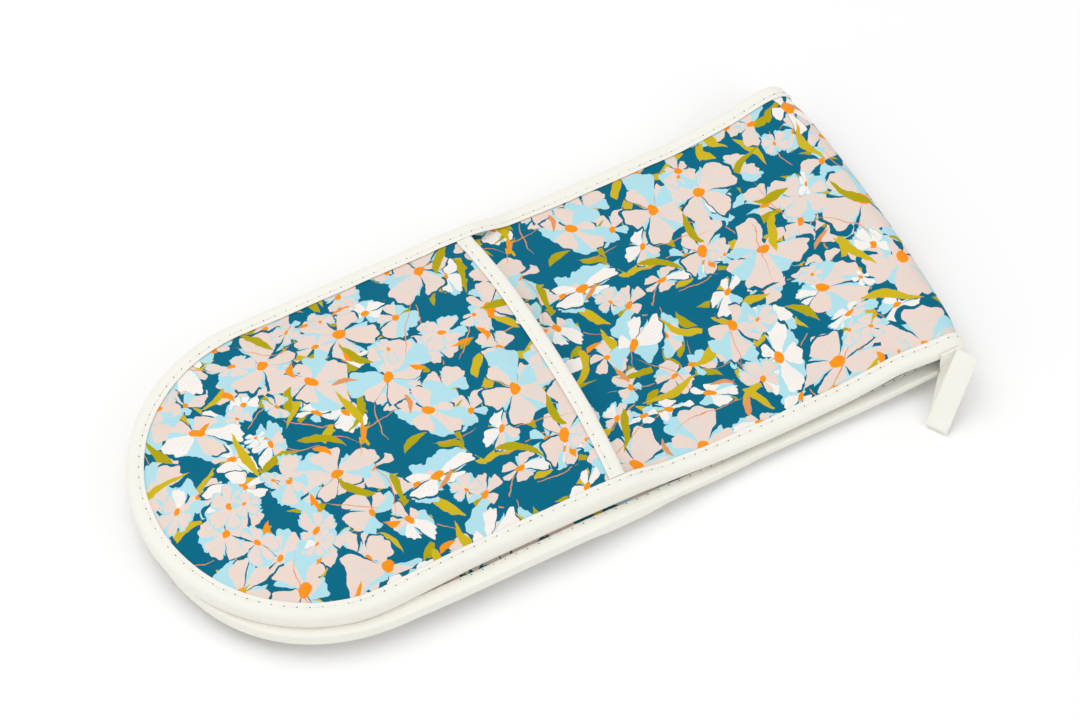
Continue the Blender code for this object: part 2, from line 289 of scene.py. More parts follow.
def drawn_in(side, path, y):
    """Flat places moved as padding draws the upper half in and leaves the lower half spread."""
    front = smooth(0.5 - y / 0.06)
    if side > 0:
        amount = -sizes().edge_draw - front * sizes().front_draw * profile(path, UPPER_FRONT)
    else:
        amount = front * sizes().lower_spread * profile(path, LOWER_FRONT) - 0.0012 * (1 - front)
        radius = np.maximum(np.hypot(path - ROUND_X, y), 1e-6)
        toward = (-0.99 * (path - ROUND_X) - 0.14 * y) / radius
        amount = amount - ROUND_TUCK * np.maximum(toward, 0) ** 7 * smooth((ROUND_X - path) / 0.02)
    scale = amount / HALF_WIDTH * (1 - smooth((path - BEND_X + 0.03) / 0.03))
    past_round = np.minimum(path - ROUND_X, 0)
    shift = BAND_SHIFT * smooth((path - 0.06) / 0.07) * (1 - smooth((path - 0.19) / 0.05))
    return path + past_round * scale, y * (1 + scale) + shift


def profile(path, points):
    return np.interp(path, [at for at, _ in points], [share for _, share in points])


def place(side, path, y, height):
    """Points of a half: straight up to the fold, then a quarter turn to its middle line."""
    path, y = drawn_in(side, path, y)
    x = np.minimum(path, BEND_X)
    turn = np.maximum(path - BEND_X, 0) / MID_RADIUS
    radius = BEND_INNER_RADIUS + height
    flat_z = slit_level(x) + side * (half_slit(x) + height)
    bent_z = CENTRE_Z + side * radius * np.cos(turn)
    around = path > BEND_X
    placed_x = np.where(around, BEND_X + radius * np.sin(turn), x)
    bow = np.clip(1 - (y / HALF_WIDTH) ** 2, 0, 1) ** 0.75
    placed_x = placed_x + sizes().fold_bow * bow * smooth((path - BEND_X + 0.08) / 0.085)
    return np.stack([placed_x, y, np.where(around, bent_z, flat_z)], axis=-1)


def mouth_shape(x, y):
    """How far a pocket's cloth leans toward the fold and gapes near its mouth."""
    across = np.clip(1 - (y / (HALF_WIDTH - BOUND)) ** 2, 0, 1)
    lean = sizes().mouth_bow * across * smooth((x - (MOUTH_X - 0.05)) / 0.05)
    lift = sizes().mouth_lift * across**1.5 * smooth((x - (MOUTH_X - 0.08)) / 0.08)
    return lean, lift


# Flat patterns.


def outline(end, step):
    """Points on the band's edge from front to back, and their inward directions."""
    count = max(2, round((min(end, BEND_X) - ROUND_X) / step))
    straight = np.linspace(min(end, BEND_X), ROUND_X, count, endpoint=False)
    if end > BEND_X:
        straight = np.concatenate([np.linspace(end, BEND_X, 16, endpoint=False), straight])
    turns = np.linspace(0, math.pi, 2 * round(HALF_WIDTH * math.pi / step / 2) + 1)
    sine, cosine = np.sin(turns), np.cos(turns)
    ones = np.ones_like(straight)
    base_x = [straight, ROUND_X - HALF_WIDTH * sine, straight[::-1]]
    base_y = [-HALF_WIDTH * ones, -HALF_WIDTH * cosine, HALF_WIDTH * ones]
    inward_x = [0 * ones, sine, 0 * ones]
    inward_y = [ones, cosine, -ones]
    parts = [np.concatenate(part) for part in (base_x, base_y, inward_x, inward_y)]
    return np.stack(parts[:2], axis=-1), np.stack(parts[2:], axis=-1)


class Pattern:
    """A flat cloth as a grid of rows from its edge inward, with the middle line welded."""

    def __init__(self, end, step):
        base, inward = outline(end, step)
        near = [TUCK, 0.006, BOUND - 0.0012]
        rings = near + list(np.linspace(BOUND, HALF_WIDTH, round((HALF_WIDTH - BOUND) / step)))
        rings = np.array(rings)
        grid = base[:, None, :] + inward[:, None, :] * rings[None, :, None]
        flat = grid.reshape(-1, 2)
        keys = np.round(flat * 1e6).astype(np.int64)
        _, first, weld = np.unique(keys, axis=0, return_index=True, return_inverse=True)
        weld = weld.reshape(grid.shape[:2])
        self.path, self.y = flat[first].T
        self.path[np.abs(self.path) < 1e-9] = 0.0
        self.edge = edge_distance(self.path, self.y)
        corners = [weld[:-1, :-1], weld[:-1, 1:], weld[1:, 1:], weld[1:, :-1]]
        self.faces = np.stack(corners, axis=-1).reshape(-1, 4)
        middle = (len(base) - 1) // 2
        rows = np.repeat(np.arange(len(base) - 1), len(rings) - 1)
        self.is_front = rows < middle

    def rim(self, faces):
        """The faces' outer edges, each in its face's direction."""
        edges = np.concatenate([faces[:, [i, (i + 1) % 4]] for i in range(4)])
        edges = edges[edges[:, 0] != edges[:, 1]]
        whole = {tuple(edge) for edge in edges.tolist()}
        return [edge for edge in edges.tolist() if (edge[1], edge[0]) not in whole]


def corner_points(mesh):
    """Index of the point at each face corner."""
    corner = np.empty(len(mesh.loops), np.int32)
    mesh.loops.foreach_get("vertex_index", corner)
    return corner


def surface_normals(points, faces):
    corners = points[faces]
    normal = np.cross(corners[:, 2] - corners[:, 0], corners[:, 3] - corners[:, 1])
    total = np.zeros_like(points)
    for i in range(4):
        np.add.at(total, faces[:, i], normal)
    return total / np.maximum(np.linalg.norm(total, axis=1, keepdims=True), 1e-12)


def new_object(name, points, faces, finish, uvs=None):
    """A mesh object of this name from plain points and faces, with its cloth map."""
    mesh = bpy.data.meshes.new(name)
    mesh.from_pydata([tuple(p) for p in points.tolist()], [], faces)
    if uvs is not None:
        layer = mesh.uv_layers.new(name="Cloth")
        values = np.asarray(uvs)[corner_points(mesh)].astype(np.float32)
        layer.data.foreach_set("uv", values.ravel())
    mesh.materials.append(finish)
    mesh.shade_smooth()
    piece = bpy.data.objects.new(name, mesh)
    bpy.context.scene.collection.objects.link(piece)
    return piece


def closed_cloth(name, pattern, low, high, side, finish, uvs, part=None):
    """A cloth with both its faces and its cut edge. part takes the front or the back half only.

    Its normals continue over the line where it meets the other half's or part's cloth.
    """
    faces = pattern.faces
    if part is not None:
        faces = faces[pattern.is_front == (part == "front")]
    used, index = np.unique(faces, return_inverse=True)
    count = len(used)
    local = index.reshape(faces.shape)
    rim = pattern.rim(local)
    top = [list(dict.fromkeys(face)) for face in local.tolist()]
    under = [[corner + count for corner in reversed(face)] for face in top]
    wall = [[b, a, a + count, b + count] for a, b in rim]
    every = top + under + wall
    if side > 0:
        every = [list(reversed(face)) for face in every]
    points = np.concatenate([high[used], low[used]])
    piece = new_object(name, points, every, finish, np.concatenate([uvs[used], uvs[used]]))
    mesh = piece.data
    mesh.set_sharp_from_angle(angle=math.radians(55))
    normals = [-side * surface_normals(face, pattern.faces) for face in (high, low)]
    for normal in normals:
        normal[pattern.path > FOLD_END - 0.0001, 2] = 0
    normals = np.concatenate([normals[0][used], -normals[1][used]])
    given = normals[corner_points(mesh)]
    walls = sum(len(face) for face in wall)
    given[len(given) - walls :] = 0
    mesh.normals_split_custom_set([tuple(normal) for normal in given.tolist()])
    return piece


def swept(name, sections, finish, uvs=None, closed_ends=True):
    """A closed solid through a row of equal closed sections."""
    rows, count = sections.shape[:2]
    index = np.arange(rows * count).reshape(rows, count)
    following = np.roll(index, -1, axis=1)
    quads = np.stack([index[:-1], following[:-1], following[1:], index[1:]], axis=-1)
    faces = quads.reshape(-1, 4).tolist()
    if closed_ends:
        faces += [index[0].tolist()[::-1], index[-1].tolist()]
    points = sections.reshape(-1, 3)
    piece = new_object(name, points, faces, finish, None if uvs is None else uvs.reshape(-1, 2))
    bm = bmesh.new()
    bm.from_mesh(piece.data)
    bmesh.ops.recalc_face_normals(bm, faces=bm.faces)
    bm.to_mesh(piece.data)
    bm.free()
    piece.data.set_sharp_from_angle(angle=math.radians(60))
    return piece


def waves(x, y, size, seed):
    """Smooth, irregular swells of about this size, between -1 and 1."""
    random = np.random.default_rng(seed)
    total = np.zeros_like(x)
    for _ in range(9):
        turn = random.uniform(0, math.pi)
        pitch = 2 * math.pi / (size * random.uniform(0.7, 1.6))
        shift = random.uniform(0, 2 * math.pi)
        total += np.sin(pitch * (x * math.cos(turn) + y * math.sin(turn)) + shift)
    return total / 4.5


def padded_swell(pattern, seed):
    """Height of the soft dimples over a padded face, none at its sewn edge."""
    share = smooth((pattern.edge - BOUND) / 0.02)
    swell = waves(pattern.path, pattern.y, 0.055, seed) + 0.35 * waves(
        pattern.path, pattern.y, 0.02, seed + 1
    )
    pucker = waves(pattern.path, pattern.y, 0.010, seed + 2) * smooth(
        1 - np.abs(pattern.edge - BOUND - 0.006) / 0.008
    )
    return sizes().dimples * (0.55 * share * swell + 0.18 * pucker)


# Node helpers.


class Wire:
    """A number in a node tree. Sums on it add Math nodes."""

    def __init__(self, tree, socket):
        self.tree = tree
        self.socket = socket

    def maths(self, operation, *others, clamp=False):
        made = self.tree.nodes.new("ShaderNodeMath")
        made.operation = operation
        made.use_clamp = clamp
        for socket, value in zip(made.inputs, (self, *others)):
            connect(self.tree, socket, value)
        return Wire(self.tree, made.outputs[0])

    def __add__(self, other):
        return self.maths("ADD", other)

    def __sub__(self, other):
        return self.maths("SUBTRACT", other)

    def __mul__(self, other):
        return self.maths("MULTIPLY", other)

    def __truediv__(self, other):
        return self.maths("DIVIDE", other)

    def over(self, other):
        return self.maths("GREATER_THAN", other)

    def under(self, other):
        return self.maths("LESS_THAN", other)


def connect(tree, socket, value):
    if isinstance(value, Wire):
        value = value.socket
    if isinstance(value, bpy.types.NodeSocket):
        tree.links.new(value, socket)
    else:
        socket.default_value = value


def add_node(tree, kind, settings=(), **inputs):
    """Adds a node; inputs are named with underscores for spaces."""
    made = tree.nodes.new(kind)
    for name, value in dict(settings).items():
        setattr(made, name, value)
    for name, value in inputs.items():
        connect(tree, made.inputs[name.replace("_", " ")], value)
    return made


def group_tree(name, kind, inputs, outputs):
    """An empty node group with named sockets, and the wires that enter it."""
    tree = bpy.data.node_groups.new(name, kind)
    for title, socket_type, default in inputs:
        made = tree.interface.new_socket(title, in_out="INPUT", socket_type=socket_type)
        if default is not None:
            made.default_value = default
    for title, socket_type in outputs:
        tree.interface.new_socket(title, in_out="OUTPUT", socket_type=socket_type)
    entry = tree.nodes.new("NodeGroupInput")
    leave = tree.nodes.new("NodeGroupOutput")
    return tree, {title: Wire(tree, entry.outputs[title]) for title, _, _ in inputs}, leave


def use_group(tree, group, **inputs):
    made = tree.nodes.new("ShaderNodeGroup")
    made.node_tree = group
    for name, value in inputs.items():
        connect(tree, made.inputs[name.replace("_", " ")], value)
    return {socket.name: Wire(tree, socket) for socket in made.outputs}


def layered(tree, mask, below, above):
    """Colour above where mask is 1, and below where it is 0."""
    made = tree.nodes.new("ShaderNodeMix")
    made.data_type = "RGBA"
    connect(tree, made.inputs[0], mask)
    connect(tree, made.inputs[6], below)
    connect(tree, made.inputs[7], above)
    return Wire(tree, made.outputs[2])


def numbers(**defaults):
    """Named number sockets for a group, underscores for spaces."""
    return [(name.replace("_", " "), "NodeSocketFloat", value) for name, value in defaults.items()]


def number_outputs(*titles):
    return [(title, "NodeSocketFloat") for title in titles]


def cloth_noise(tree, place, scale, detail):
    settings = {"noise_dimensions": "2D"}
    return add_node(
        tree, "ShaderNodeTexNoise", settings, Vector=place, Scale=scale, Detail=detail
    )


def axes_of(tree, vector):
    split = add_node(tree, "ShaderNodeSeparateXYZ", Vector=vector)
    return Wire(tree, split.outputs[0]), Wire(tree, split.outputs[1])


def joined(tree, x, y):
    made = add_node(tree, "ShaderNodeCombineXYZ", X=x, Y=y)
    return Wire(tree, made.outputs[0])


def scattered(tree, place_on_cloth, spacing, seed):
    """Position measured from the nearest scattered motif, in spacings, turned its own way."""
    x, y = axes_of(tree, place_on_cloth)
    x = (x + seed * 0.371) / spacing
    y = (y + seed * 0.613) / spacing
    cells = add_node(
        tree,
        "ShaderNodeTexVoronoi",
        {"voronoi_dimensions": "2D", "feature": "F1"},
        Vector=joined(tree, x, y),
        Scale=1.0,
        Randomness=0.74,
    )
    at_x, at_y = axes_of(tree, cells.outputs["Position"])
    chance = add_node(tree, "ShaderNodeSeparateColor", Color=cells.outputs["Color"])
    chances = [Wire(tree, output) for output in chance.outputs]
    x, y = x - at_x, y - at_y
    turn = chances[0] * (2 * math.pi)
    cosine, sine = turn.maths("COSINE"), turn.maths("SINE")
    return x * cosine + y * sine, y * cosine - x * sine, chances


def flower_group():
    """Open flowers of broad, toothed petals, scattered and turned at random."""
    tree, given, leave = group_tree(
        "Printed flowers",
        "ShaderNodeTree",
        [("Place", "NodeSocketVector", None)]
        + numbers(Spacing=0.04, Reach=0.6, Petals=5.0, Width=0.5, Teeth=3.0, Share=1.0, Seed=0.0),
        number_outputs("Petal", "Under petal", "Centre", "Vein", "Tone", "Kind", "Round it"),
    )
    x, y, chances = scattered(tree, given["Place"], given["Spacing"], given["Seed"])
    x = x * (chances[1] * 0.9 + 0.95) + given["Reach"] * 0.1
    radius = (x * x + y * y).maths("SQRT")
    full_turn = y.maths("ARCTAN2", x) / (2 * math.pi) + 0.5
    there = chances[2].under(given["Share"])

    def ring(shift, least, most):
        """One ring of petals: its mask, how far along and aside in the petal, and its luck."""
        turned = (full_turn + shift / given["Petals"]) * given["Petals"]
        number = turned.maths("FLOOR")
        swing = (turned - number - 0.5) * (2 * math.pi) / given["Petals"]
        wrapped = number.maths("MODULO", given["Petals"])
        noise = add_node(
            tree,
            "ShaderNodeTexWhiteNoise",
            {"noise_dimensions": "2D"},
            Vector=joined(tree, wrapped, chances[0] * 37.0 + shift),
        )
        luck = Wire(tree, noise.outputs["Value"])
        reach = given["Reach"] * (luck * (most - least) + least)
        along = radius * swing.maths("COSINE") / reach
        lean = radius * swing.maths("SINE") / reach
        aside = lean.maths("ABSOLUTE")
        tooth = (aside * given["Teeth"]).maths("PINGPONG", 0.5) * 0.14
        grown = along.maths("MAXIMUM", 0.0) * 0.94 + 0.06
        tip = ((along + tooth).maths("POWER", 8.0) * -1.0 + 1.0).maths("MAXIMUM", 0.0)
        width = grown * tip.maths("SQRT") * given["Width"] * (luck * 0.55 + 0.70)
        mask = (width - aside).over(0.0) * there
        beside = (width + 0.17 - lean).over(0.0) * (width + lean).over(0.0)
        shade = beside * (along * (luck * 0.5 + 1.0)).under(0.86) * along.over(0.0) * there
        reached = ((along * 0.93 + tooth).maths("POWER", 8.0) * -1.0 + 1.0).maths("MAXIMUM", 0.0)
        wider = grown * reached.maths("SQRT") * given["Width"] * (luck * 0.55 + 0.70)
        wider = wider + luck * 0.17 - 0.04
        around = (wider - aside).over(0.0) * along.over(0.05) * reached.over(0.0) * there
        return mask, shade, around, along, aside, luck

    mask, shade, around, along, aside, luck = ring(Wire(tree, zero_value(tree)), 0.55, 1.0)
    under, _, _, _, _, under_luck = ring(Wire(tree, zero_value(tree, 0.5)), 0.4, 1.0)
    mask = mask * luck.over(0.1)
    under = under * under_luck.over(0.66)
    centre_size = given["Reach"] * (chances[1] * 0.05 + 0.115)
    spread = (aside / along.maths("MAXIMUM", 0.1) * 6.0).maths("PINGPONG", 0.5)
    vein = spread.under(0.07) * along.over(0.3) * along.under(0.72) * luck.over(0.6)
    made = {
        "Petal": mask,
        "Under petal": under.maths("MAXIMUM", shade * luck.over(0.4)),
        "Centre": radius.under(centre_size) * there,
        "Vein": vein * mask,
        "Tone": luck,
        "Kind": chances[1],
        "Round it": around * luck.over(0.1),
    }
    for title, wire in made.items():
        connect(tree, leave.inputs[title], wire)
    return tree


def zero_value(tree, value=0.0):
    made = tree.nodes.new("ShaderNodeValue")
    made.outputs[0].default_value = value
    return made.outputs[0]


def leaf_group():
    """Curved, pointed leaves and stems, scattered and turned at random."""
    tree, given, leave = group_tree(
        "Printed leaves",
        "ShaderNodeTree",
        [("Place", "NodeSocketVector", None)]
        + numbers(Spacing=0.03, Length=0.5, Width=0.15, Share=1.0, Seed=0.0),
        number_outputs("Leaf", "Tone"),
    )
    x, y, chances = scattered(tree, given["Place"], given["Spacing"], given["Seed"])
    length = given["Length"] * (chances[1] * 0.5 + 0.6)
    along = x / length
    y = y + along * along * length * (chances[2] * 0.8 - 0.4)
    taper = (along * along * -1.0 + 1.0).maths("MAXIMUM", 0.0)
    width = given["Width"] * taper * (along * 0.35 + 1.0)
    mask = (width - y.maths("ABSOLUTE")).over(0.0) * chances[2].under(given["Share"])
    connect(tree, leave.inputs["Leaf"], mask)
    connect(tree, leave.inputs["Tone"], chances[1])
    return tree


def print_group():
    """The floral print: flowers over leaves and stems on a plain ground."""
    flowers, leaves = flower_group(), leaf_group()
    tree, given, leave = group_tree(
        "Floral print",
        "ShaderNodeTree",
        [("Place", "NodeSocketVector", None)],
        [("Colour", "NodeSocketColor")],
    )
    shades = {}
    for title in ("ground", "blush", "white", "sky", "leaf", "mustard", "centre", "stem"):
        shade = add_node(tree, "ShaderNodeRGB")
        shade.outputs[0].default_value = (*getattr(colours(), title), 1)
        shades[title] = shade.outputs[0]
    x, y = axes_of(tree, given["Place"])
    for pitch, amount in ((70.0, 0.0045), (330.0, 0.0009)):
        noise = cloth_noise(tree, given["Place"], pitch, 1.0)
        parts = add_node(tree, "ShaderNodeSeparateColor", Color=noise.outputs["Color"])
        x = x + (Wire(tree, parts.outputs[0]) - 0.5) * amount
        y = y + (Wire(tree, parts.outputs[1]) - 0.5) * amount
    drawn = joined(tree, x, y)

    def motifs(group, titles, values):
        return use_group(tree, group, Place=drawn, **dict(zip(titles, values)))

    def leaf_layer(below, above, *values, other=None):
        made = motifs(leaves, ("Spacing", "Length", "Width", "Share", "Seed"), values)
        if other is not None:
            above = layered(tree, made["Tone"].over(0.6), above, other)
        return layered(tree, made["Leaf"], below, above)

    def flower_layer(below, *values, sky_share, rim):
        titles = ("Spacing", "Reach", "Petals", "Width", "Teeth", "Share", "Seed")
        front = motifs(flowers, titles, values)
        colour = layered(tree, front["Round it"], below, shades[rim])
        colour = layered(tree, front["Under petal"], colour, shades["sky"])
        lighter = (front["Kind"] + front["Tone"] * 0.25).over(0.93)
        petal = layered(tree, lighter, shades["blush"], shades["white"])
        petal = layered(tree, front["Tone"].under(sky_share), petal, shades["sky"])
        colour = layered(tree, front["Petal"], colour, petal)
        colour = layered(tree, front["Vein"] * 0.6, colour, shades["sky"])
        return layered(tree, front["Centre"], colour, shades["centre"])

    leaf, mustard, stem = shades["leaf"], shades["mustard"], shades["stem"]
    colour = Wire(tree, shades["ground"])
    flower, berry = flower_layer, shades["centre"]
    colour = leaf_layer(colour, leaf, 0.0160, 0.66, 0.13, 0.8, 1.3, other=mustard)
    colour = leaf_layer(colour, stem, 0.021, 0.85, 0.013, 0.6, 3.7)
    colour = flower(colour, 0.0230, 0.66, 5.0, 0.46, 3.0, 1.1, 2.1, sky_share=0.26, rim="ground")
    colour = leaf_layer(colour, mustard, 0.026, 0.50, 0.08, 0.55, 5.2, other=leaf)
    colour = flower(colour, 0.0415, 0.60, 5.0, 0.44, 3.0, 1.1, 4.4, sky_share=0.10, rim="ground")
    colour = leaf_layer(colour, berry, 0.024, 0.26, 0.06, 0.4, 6.6, other=stem)
    colour = flower(colour, 0.031, 0.45, 6.0, 0.42, 4.0, 0.42, 7.9, sky_share=0.08, rim="sky")
    colour = leaf_layer(colour, stem, 0.036, 0.62, 0.007, 0.5, 8.3)
    colour = leaf_layer(colour, leaf, 0.034, 0.42, 0.06, 0.5, 9.1, other=mustard)
    colour = flower(colour, 0.020, 0.42, 6.0, 0.38, 5.0, 0.2, 9.7, sky_share=0.06, rim="sky")
    connect(tree, leave.inputs["Colour"], colour)
    return tree


def weave_group():
    """Plain weave: crossing threads with uneven thickness, as a height, and as a painted shade that is
    darker between the threads.
    """
    tree, given, leave = group_tree(
        "Plain weave",
        "ShaderNodeTree",
        [("Place", "NodeSocketVector", None), ("Pitch", "NodeSocketFloat", 0.0005)],
        [("Height", "NodeSocketFloat"), ("Shade", "NodeSocketFloat")],
    )
    x, y = axes_of(tree, given["Place"])
    x, y = x / given["Pitch"] * math.pi, y / given["Pitch"] * math.pi
    warp = x.maths("SINE").maths("ABSOLUTE")
    weft = y.maths("SINE").maths("ABSOLUTE")
    over = (x.maths("COSINE") * y.maths("COSINE")).over(0.0)
    height = warp * over + weft * (over * -1.0 + 1.0)
    slub = cloth_noise(tree, given["Place"], 900.0, 2.0)
    unevenness = Wire(tree, slub.outputs[0])
    connect(tree, leave.inputs["Height"], height * 0.7 + unevenness * 0.5)
    # Painted shade: darker in the dips between the threads, with uneven thread tone on top.
    connect(tree, leave.inputs["Shade"], height * 0.5 + unevenness * 0.5)
    return tree


def washed_and_thread_shade_group():
    """Soft, cloudy change of tone and roughness that use and washing leave on cloth, and the weave's painted
    shade between the threads.
    """
    tree, given, leave = group_tree(
        "Washed cloth and thread shade",
        "ShaderNodeTree",
        [
            ("Colour", "NodeSocketColor", None),
            ("Place", "NodeSocketVector", None),
            ("Amount", "NodeSocketFloat", 0.1),
            ("Shade", "NodeSocketFloat", 0.5),
        ],
        [("Colour", "NodeSocketColor"), ("Roughness", "NodeSocketFloat")],
    )
    cloud = add_node(
        tree, "ShaderNodeTexNoise", Vector=given["Place"], Scale=28.0, Detail=3.0, Roughness=0.6
    )
    cloudy = Wire(tree, cloud.outputs[0]) - 0.5
    # The cloud is uneven tone from use; the Shade input adds painted shade between the weave's threads.
    value = cloudy * given["Amount"] + (given["Shade"] - 0.5) * given["Amount"] + 1.0
    changed = add_node(tree, "ShaderNodeHueSaturation", Color=given["Colour"], Value=value)
    connect(tree, leave.inputs["Colour"], changed.outputs[0])
    connect(tree, leave.inputs["Roughness"], cloudy * 0.25 + 0.78)
    return tree


def shared_group(name):
    makers = {
        "Floral print": print_group,
        "Plain weave": weave_group,
        "Washed cloth and thread shade": washed_and_thread_shade_group,
    }
    return bpy.data.node_groups.get(name) or makers[name]()


def cloth_finish(name, shade=None, pitch=0.00042, bump=0.25, amount=0.08, sheen=0.15):
    """A woven cotton finish; without a shade it carries the floral print."""
    found = bpy.data.materials.get(name)
    if found:
        return found
    made = bpy.data.materials.new(name)
    made.use_nodes = True
    tree = made.node_tree
    shader = tree.nodes["Principled BSDF"]
    cloth = Wire(tree, add_node(tree, "ShaderNodeUVMap", {"uv_map": "Cloth"}).outputs[0])
    weave = use_group(tree, shared_group("Plain weave"), Place=cloth, Pitch=pitch)
    if shade is None:
        colour = use_group(tree, shared_group("Floral print"), Place=cloth)["Colour"]
    else:
        colour = (*shade, 1)
    washed_and_thread_shaded = use_group(
        tree,
        shared_group("Washed cloth and thread shade"),
        Colour=colour,
        Place=cloth,
        Amount=amount,
        Shade=weave["Shade"],
    )
    bumped = add_node(
        tree, "ShaderNodeBump", Height=weave["Height"], Strength=bump, Distance=0.00012
    )
    connect(tree, shader.inputs["Base Color"], washed_and_thread_shaded["Colour"])
    connect(tree, shader.inputs["Roughness"], washed_and_thread_shaded["Roughness"])
    connect(tree, shader.inputs["Normal"], bumped.outputs[0])
    shader.inputs["Specular IOR Level"].default_value = 0.1
    shader.inputs["Sheen Weight"].default_value = sheen
    return made


def thread_finish():
    return cloth_finish("Sewing thread", colours().binding, 0.0002, 0.4, 0.16, 0.25)


# Dark painted shade for the needle holes, where the thread dives into the binding.
def needle_hole_shade_finish():
    return cloth_finish("Needle hole shade", srgb(86, 78, 66), 0.0003, 0.2, 0.3, 0.0)


def plain_finish(title):
    looks = {
        "binding": ("Cream binding cotton", 0.00050, 0.35, 0.05, 0.2),
        "lining": ("Cream lining cotton", 0.00060, 0.45, 0.09, 0.2),
        "wadding": ("Cotton wadding", 0.0011, 0.8, 0.16, 0.3),
    }
    name, pitch, bump, amount, sheen = looks[title]
    return cloth_finish(name, getattr(colours(), title), pitch, bump, amount, sheen)


def print_finish():
    return cloth_finish("Printed cotton", None, sizes().weave_pitch, 0.22, 0.06, 0.01)


# Joining pieces to the frame.


def bend_with_fold(piece, half):
    """A half's cloth follows its half, and turns with the fold toward its middle line."""
    if half == "upper":
        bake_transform(piece, "fold", "upper_half", EDGE_PLACES["fold"], EDGE_PLACES["upper"])
    else:
        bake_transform(piece, "lower_half", "fold", EDGE_PLACES["lower"], EDGE_PLACES["fold"])


def open_with_pocket(piece, half, part):
    """A pocket's cloth stays sewn along its side, and its middle opens."""
    sewn = -(HALF_WIDTH - BOUND) if part == "front" else HALF_WIDTH - BOUND
    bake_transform(piece, f"{half}_half", f"{half}_pocket", (0, sewn, CENTRE_Z), (0, 0, CENTRE_Z))


def kept_off_table(points, clear=FLOOR_CLEAR):
    points[..., 2] = np.maximum(points[..., 2], clear)
    return points


def cloth_map(pattern, half, shift=(0.0, 0.0)):
    """Flat cloth position of each point; both halves' maps meet on the fold's middle line."""
    path = pattern.path if half == "upper" else 2 * FOLD_END - pattern.path
    return np.stack([path + shift[0], pattern.y + shift[1]], axis=-1)


def band_layer(half, layer, step, finish, shift):
    """One layer of a half's band, to the fold's middle line."""
    side = SIDES[half]
    pattern = Pattern(FOLD_END - MEET_GAP, step)
    low_height, high_height = band_heights(pattern.edge)[layer]
    swell = band_swell(half, step)
    if layer == "outer":
        low_height, high_height = low_height + swell, high_height + swell
    elif layer == "wadding":
        high_height = np.maximum(high_height + swell, low_height + 0.0003)
    low = place(side, pattern.path, pattern.y, low_height)
    high = place(side, pattern.path, pattern.y, high_height)
    high = kept_off_table(high)
    names = {
        "outer": ("band_outer_panel", "fold_outer_panel"),
        "inner": ("band_inner_panel", "fold_inner_panel"),
        "wadding": ("band_wadding", "fold_wadding"),
    }
    node, fold_node = names[layer]
    uvs = cloth_map(pattern, half, shift)
    piece = closed_cloth(f"{half}_{node}_cloth", pattern, low, high, side, finish, uvs)
    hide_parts(f"{half}_{node}", fold_node)
    bend_with_fold(piece, half)
    return piece


def settled(pattern, held, seed):
    """Height of a printed cloth, cut a little large, settled between its held edges.

    There is no gravity. A light pressure from inside stands for the padding.
    """
    start = padded_swell(pattern, seed)
    mesh = bpy.data.meshes.new("settling_cloth")
    points = np.stack([pattern.path, pattern.y, start * 0.5], axis=-1)
    faces = [list(dict.fromkeys(face)) for face in pattern.faces.tolist()]
    mesh.from_pydata([tuple(p) for p in points.tolist()], [], faces)
    cloth = bpy.data.objects.new("settling_cloth", mesh)
    bpy.context.scene.collection.objects.link(cloth)
    sewn = cloth.vertex_groups.new(name="Sewn")
    sewn.add(np.where(held)[0].tolist(), 1.0, "REPLACE")
    modifier = cloth.modifiers.new("Cloth", "CLOTH")
    settings = modifier.settings
    settings.quality = 4
    settings.mass = 0.2
    settings.tension_stiffness = settings.compression_stiffness = 20
    settings.shear_stiffness = 8
    settings.bending_stiffness = 0.4
    settings.air_damping = 3
    settings.vertex_group_mass = "Sewn"
    settings.shrink_min = -SPARE_CLOTH
    settings.use_pressure = True
    settings.uniform_pressure_force = 0.5
    settings.effector_weights.gravity = 0
    modifier.point_cache.frame_start = 1
    modifier.point_cache.frame_end = SETTLING_FRAMES
    for moment in range(1, SETTLING_FRAMES + 1):
        bpy.context.scene.frame_set(moment)
    done = cloth.evaluated_get(bpy.context.evaluated_depsgraph_get()).data
    risen = np.empty(len(done.vertices) * 3, np.float32)
    done.vertices.foreach_get("co", risen)
    height = risen.reshape(-1, 3)[:, 2].astype(float)
    bpy.data.objects.remove(cloth)
    bpy.context.scene.frame_set(1)
    return np.where(height > 0, MOST_RISE * np.tanh(height / MOST_RISE / 1.6), 0) + np.where(
        height > 0, 0, MOST_SINK * np.tanh(height / MOST_SINK / 1.6)
    )


def carried_over(height, settled_pattern, pattern):
    """The settled height at another pattern's points, from the nearest settled ones."""
    tree = KDTree(len(height))
    for i, (x, y) in enumerate(zip(settled_pattern.path, settled_pattern.y)):
        tree.insert((x, y, 0), i)
    tree.balance()
    carried = []
    for x, y in zip(pattern.path, pattern.y):
        near = tree.find_n((x, y, 0), 4)
        weights = [1 / (distance**2 + 1e-9) for _, _, distance in near]
        total = sum(weight * height[i] for weight, (_, i, _) in zip(weights, near))
        carried.append(total / sum(weights))
    return np.array(carried)


SETTLED = {}


def settled_swell(kind, half, pattern):
    """Swell of a printed cloth at a pattern's points. Each cloth settles only once."""
    if (kind, half) not in SETTLED:
        end = FOLD_END - MEET_GAP if kind == "band" else MOUTH_X - LIP
        whole = Pattern(end, SETTLING_STEP)
        sewn = BEND_X if kind == "band" else MOUTH_X - BINDING_WIDTH
        held = (whole.edge < BOUND + 0.001) | (whole.path > sewn)
        seed = {"band": 11, "pocket": 31}[kind] + (0 if half == "upper" else 12)
        SETTLED[kind, half] = (whole, settled(whole, held, seed))
    whole, height = SETTLED[kind, half]
    return carried_over(height, whole, pattern)


